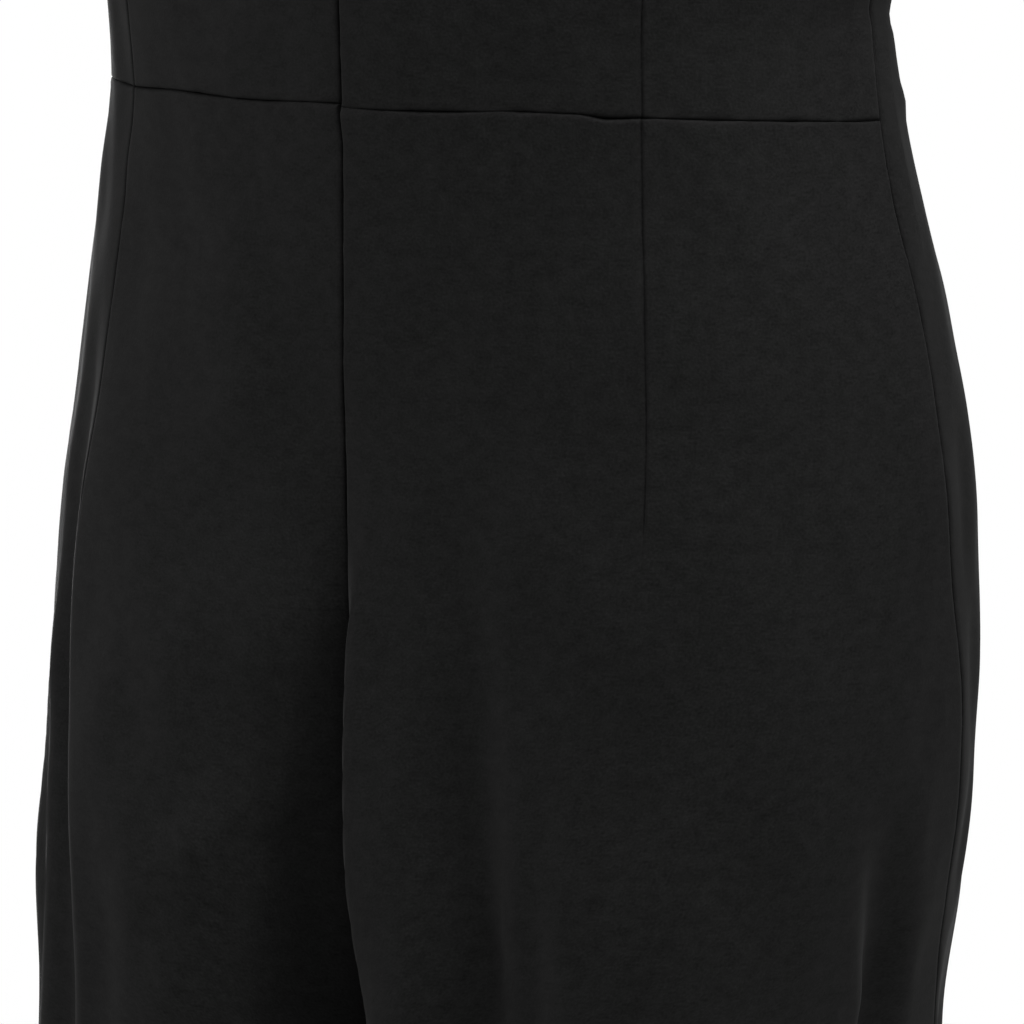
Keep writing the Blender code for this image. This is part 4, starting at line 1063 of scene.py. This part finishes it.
def crepe():
    """Fine black crepe: a grain, short slubs across it and a soft mottle, with painted shade along its seams.
    """
    made, nodes, links, shader = new_material("black_crepe")
    on_cloth = grain_map(nodes)
    grain = noise(nodes, links, on_cloth, 1120.0, 1.0)
    slub = noise(nodes, links, mapped(nodes, links, on_cloth, (0.4, 1.0, 1.0)), 1120.0, 1.0)
    cloud = noise(nodes, links, mapped(nodes, links, on_cloth, (0.8, 1.0, 1.0)), 210.0, 3.0, 0.64)
    mixed = weighted(nodes, links, ((0.50, grain), (0.20, slub), (0.42, cloud)), lift=-0.06)
    colour = ramp(nodes, links, mixed, ((0.32, grey(0.0026)), (0.68, grey(0.0114))))
    # Painted shade: where the mesh's seam shade attribute is set, the colour darkens towards a near-black
    # tone, broken up by noise
    sewn = nodes.new("ShaderNodeAttribute")
    sewn.attribute_name = "sewn"
    seam_shade_noise = noise(nodes, links, on_cloth, 700.0, 2.0, 0.6)
    held = maths(nodes, links, "SUBTRACT", maths(nodes, links, "MULTIPLY", seam_shade_noise, 2.4), 0.55)
    dark = nodes.new("ShaderNodeMix")
    dark.data_type = "RGBA"
    factor, plain, seam_shade_tone, mix_colour = dark.inputs[0], dark.inputs[6], dark.inputs[7], dark.outputs[2]
    links.new(maths(nodes, links, "MULTIPLY", sewn.outputs["Fac"], held), factor)
    links.new(colour, plain)
    seam_shade_tone.default_value = (*grey(0.0018), 1)
    links.new(mix_colour, shader.inputs["Base Color"])
    links.new(weighted(nodes, links, ((0.16, grain),), lift=0.66), shader.inputs["Roughness"])
    shader.inputs["Specular IOR Level"].default_value = 0.10
    shader.inputs["Sheen Weight"].default_value = 0.10
    shader.inputs["Sheen Roughness"].default_value = 0.45
    shader.inputs["Sheen Tint"].default_value = (*grey(0.36), 1)
    height = weighted(nodes, links, ((0.5, grain), (0.2, slub), (0.3, cloud)))
    relief(nodes, links, shader, height, 0.35, 0.00025)
    return made


HERRINGBONE_WIDTH = 0.0015
HERRINGBONE_PITCH = 0.0008


def tape_weave():
    """The zip's woven tape: a fine herringbone."""
    made, nodes, links, shader = new_material("zip_tape")
    split = nodes.new("ShaderNodeSeparateXYZ")
    links.new(grain_map(nodes), split.inputs["Vector"])
    zigzag = maths(nodes, links, "PINGPONG", split.outputs["X"], HERRINGBONE_WIDTH)
    line = maths(nodes, links, "ADD", split.outputs["Y"], zigzag)
    angle = maths(nodes, links, "MULTIPLY", line, 2 * math.pi / HERRINGBONE_PITCH)
    level = weighted(nodes, links, ((0.5, maths(nodes, links, "SINE", angle, 0)),), lift=0.5)
    tint(nodes, links, shader, level, ((0.0, (0.004, 0.004, 0.0044)), (1.0, (0.012, 0.012, 0.0128))))
    shader.inputs["Roughness"].default_value = 0.8
    shader.inputs["Specular IOR Level"].default_value = 0.2
    relief(nodes, links, shader, level, 0.5, 0.0001)
    return made


def enamel():
    """Black enamelled metal, a little rubbed."""
    made, nodes, links, shader = new_material("zip_metal")
    rub = noise(nodes, links, nodes.new("ShaderNodeTexCoord").outputs["Object"], 900.0, 4.0, 0.6)
    tint(nodes, links, shader, rub, ((0.35, (0.010, 0.010, 0.011)), (0.72, (0.030, 0.030, 0.032))))
    links.new(weighted(nodes, links, ((0.25, rub),), lift=0.22), shader.inputs["Roughness"])
    shader.inputs["Metallic"].default_value = 0.75
    relief(nodes, links, shader, rub, 0.15, 0.0001)
    return made


def coil_plastic():
    made, nodes, links, shader = new_material("zip_coil")
    scuff = noise(nodes, links, nodes.new("ShaderNodeTexCoord").outputs["Object"], 1400.0, 3.0, 0.5)
    tint(nodes, links, shader, scuff, ((0.3, (0.006, 0.006, 0.0065)), (0.7, (0.014, 0.014, 0.015))))
    shader.inputs["Roughness"].default_value = 0.42
    return made


def pale_floor():
    made, nodes, links, shader = new_material("pale_floor")
    mottle = noise(nodes, links, nodes.new("ShaderNodeTexCoord").outputs["Object"], 3.0, 4.0, 0.6)
    tint(nodes, links, shader, mottle, ((0.3, (0.78, 0.78, 0.77)), (0.7, (0.82, 0.82, 0.81))))
    shader.inputs["Roughness"].default_value = 0.7
    return made


# The zip: tapes and coils, inside the backs
TAPE_WIDTH = 0.0125
TAPE_SINK = 0.0021
TAPE_THICKNESS = 0.0005
COIL_PITCH = 0.0012
COIL_SINK = 0.0034
COIL_RADIUS = 0.0007
COIL_WIRE = 0.00024
COIL_SIDES = 4
COIL_STEPS = 8
COIL_TOP_GAP = 0.016
COIL_OUT = 0.00055
COIL_FLATNESS = 0.6
TAPE_TOP_GAP = 0.004
TAPE_ROWS = 150
TAPE_REACH_TURN = 12.0
TAPE_SAMPLES = 60


def make_tape(side, finish):
    """A zip tape: a thin woven strip behind the centre back."""
    levels = np.linspace(BACK_NECK_LEVEL + TAPE_TOP_GAP, ZIP_END_LEVEL, TAPE_ROWS)
    widths = np.array([0.0002, 0.0014, 0.0030, 0.0050, 0.0075, 0.0100, TAPE_WIDTH])
    turns = np.linspace(0, TAPE_REACH_TURN, TAPE_SAMPLES)
    turn, level = np.meshgrid(turns, levels)
    points = cloth(side, turn, level)
    steps = np.linalg.norm(np.diff(points, axis=1), axis=2)
    run = np.concatenate([np.zeros((len(levels), 1)), np.cumsum(steps, 1)], 1)
    turn = np.stack([np.interp(widths, run[r], turns) for r in range(len(levels))])
    level = np.repeat(levels[:, None], len(widths), 1)
    points = cloth(side, turn, level)
    out = directions(cloth, side, turn, level)
    points, faces = wall_between(points - out * TAPE_SINK, points - out * (TAPE_SINK + TAPE_THICKNESS))
    across = np.tile(widths, len(levels) * 2)
    down = np.tile(np.repeat(levels, len(widths)), 2)
    return set_out(mesh_with_grain(f"zip_tape_{name_of(side)}_weave", points, faces, across, down), finish)


def make_coil(side, finish):
    """One half of the zip's coil: a flattened helix of nylon down the tape's edge."""
    length = ZIP_END_LEVEL - BACK_NECK_LEVEL - COIL_TOP_GAP
    loops = int(length / COIL_PITCH)
    steps = loops * COIL_STEPS
    share = np.linspace(0, 1, steps + 1)
    level = BACK_NECK_LEVEL + COIL_TOP_GAP + share * (length - COIL_PITCH)
    line = cloth(side, np.full(steps + 1, 0.6), level)
    out = directions(cloth, side, np.full(steps + 1, 1.0), level)
    out[:, 0] = 0
    out /= np.linalg.norm(out, axis=1, keepdims=True)
    angle = 2 * math.pi * loops * share + (math.pi if side < 0 else 0)
    centre = line - out * COIL_SINK
    centre[:, 0] = side * COIL_OUT
    path = centre + out * (COIL_RADIUS * COIL_FLATNESS * np.sin(angle))[:, None]
    path[:, 0] += COIL_RADIUS * np.cos(angle)
    tangent = np.gradient(path, axis=0)
    tangent /= np.linalg.norm(tangent, axis=1, keepdims=True)
    first = np.cross(tangent, np.array([0.2, 0.3, 1.0]))
    first /= np.linalg.norm(first, axis=1, keepdims=True)
    second = np.cross(tangent, first)
    corners = np.arange(COIL_SIDES) * 2 * math.pi / COIL_SIDES
    ring = np.cos(corners)[None, :, None] * first[:, None] + np.sin(corners)[None, :, None] * second[:, None]
    points = (path[:, None] + ring * COIL_WIRE).reshape(-1, 3)
    index = np.arange(len(points)).reshape(-1, COIL_SIDES)
    turned = np.roll(index, -1, 1)
    quads = np.stack([index[:-1], turned[:-1], turned[1:], index[1:]], -1).reshape(-1, 4)
    ends = [index[0][::-1].tolist(), index[-1].tolist()]
    mesh = bpy.data.meshes.new(f"zip_coil_{name_of(side)}")
    mesh.from_pydata(points.tolist(), [], quads.tolist() + ends)
    if volume_of(points, quads) < 0:
        mesh.flip_normals()
    mesh.shade_smooth()
    return set_out(mesh, finish)


# Camera, lights and floor
AZIMUTH = 213.9
ELEVATION = 5.5
CAMERA_DISTANCE = 3.2
FRAME_WIDTH = 0.338
SENSOR = 36.0
TARGET = Vector((-0.00192, -0.00129, -0.55845))


def camera_axes():
    """Unit vectors to the picture's right, up it, and towards the camera."""
    azimuth, elevation = math.radians(AZIMUTH), math.radians(ELEVATION)
    level_way = Vector((math.sin(azimuth), -math.cos(azimuth), 0))
    towards = level_way * math.cos(elevation) + Vector((0, 0, math.sin(elevation)))
    right = Vector((math.cos(azimuth), math.sin(azimuth), 0))
    return right, towards.cross(right), towards


def make_camera():
    right, up, towards = camera_axes()
    data = bpy.data.cameras.new("camera")
    data.sensor_width = SENSOR
    data.lens = SENSOR * CAMERA_DISTANCE / FRAME_WIDTH
    data.clip_start = 0.1
    data.clip_end = 50
    camera = bpy.data.objects.new("camera", data)
    camera.matrix_world = Matrix((right, up, towards)).transposed().to_4x4()
    camera.location = TARGET + towards * CAMERA_DISTANCE
    bpy.context.scene.collection.objects.link(camera)
    bpy.context.scene.camera = camera


# Softboxes, placed round the garment: azimuth is from the camera's side towards the picture's right
Softbox = namedtuple("Softbox", "name azimuth elevation width height power")
SOFTBOXES = (
    Softbox("top_softbox", 20.0, 60.0, 1.6, 1.6, 49.0),
    Softbox("side_top_softbox", 90.0, 75.0, 1.6, 1.6, 11.5),
    Softbox("key_softbox", 35.0, 42.0, 1.2, 1.4, 2.0),
    Softbox("fill_softbox", -20.0, 42.0, 1.2, 1.4, 14.3),
    Softbox("left_softbox", -85.0, 4.0, 0.9, 2.0, 14.6),
    Softbox("right_softbox", 60.0, 4.0, 0.9, 2.0, 14.6),
    Softbox("left_rim_softbox", -115.0, 8.0, 0.9, 2.0, 2.9),
    Softbox("front_key_softbox", -168.0, 4.0, 1.0, 1.8, 25.0),
    Softbox("front_fill_softbox", 172.0, 4.0, 1.0, 1.8, 8.0),
)
SOFTBOX_DISTANCE = 2.2
STUDIO_GLOW = 0.0025


def make_lights():
    right, up, towards = camera_axes()
    for box in SOFTBOXES:
        azimuth, elevation = math.radians(box.azimuth), math.radians(box.elevation)
        level_way = right * math.sin(azimuth) + towards * math.cos(azimuth)
        way = level_way * math.cos(elevation) + up * math.sin(elevation)
        data = bpy.data.lights.new(box.name, "AREA")
        data.shape = "RECTANGLE"
        data.size = box.width
        data.size_y = box.height
        data.energy = box.power
        light = bpy.data.objects.new(box.name, data)
        light.location = TARGET + way * SOFTBOX_DISTANCE
        light.rotation_euler = way.to_track_quat("Z", "Y").to_euler()
        bpy.context.scene.collection.objects.link(light)


def make_surroundings():
    """A plain white surround, which glows only faintly on the garment itself."""
    world = bpy.data.worlds.new("studio")
    world.use_nodes = True
    nodes, links = world.node_tree.nodes, world.node_tree.links
    seen = nodes.new("ShaderNodeLightPath").outputs["Is Camera Ray"]
    strength = maths(nodes, links, "MAXIMUM", seen, STUDIO_GLOW)
    nodes["Background"].inputs["Color"].default_value = (1, 1, 1, 1)
    links.new(strength, nodes["Background"].inputs["Strength"])
    bpy.context.scene.world = world
    bpy.context.scene.view_settings.view_transform = "Standard"
    bpy.context.scene.view_settings.look = "None"


FLOOR_LEVEL = -1.490
FLOOR_RADIUS = 2.6


def make_floor(finish):
    bpy.ops.object.select_all(action="DESELECT")
    middle = (0, 0, FLOOR_LEVEL)
    bpy.ops.mesh.primitive_circle_add(vertices=96, radius=FLOOR_RADIUS, fill_type="NGON", location=middle)
    floor = bpy.context.object
    floor.name = "floor"
    floor.data.materials.append(finish)


# A flat cut: width, length and area
Cut = namedtuple("Cut", "width length area")


def dress(piece, nodes):
    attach(piece, "garment")
    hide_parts(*nodes)


make_camera()
make_lights()
make_surroundings()
make_floor(pale_floor())
fabric = crepe()
tape = tape_weave()
coil = coil_plastic()
metal = enamel()
for side in (1, -1):
    which = name_of(side)
    back = make_bodice_back(side, fabric)
    dress(back, [f"bodice_back_{which}"])
    front_nodes = [f"front_upper_{which}", f"front_lower_{which}"]
    dress(make_front(side, fabric), front_nodes)
    trousers = make_trouser_back(side, fabric)
    dress(trousers, [f"trouser_back_{which}"])
    strip = make_tape(side, tape)
    dress(strip, [f"zip_tape_{which}"])
    half_coil = make_coil(side, coil)
    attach(half_coil, "garment")
for node in ("zip_slider", "zip_pull"):
    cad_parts[node].data.materials.clear()
    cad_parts[node].data.materials.append(metal)
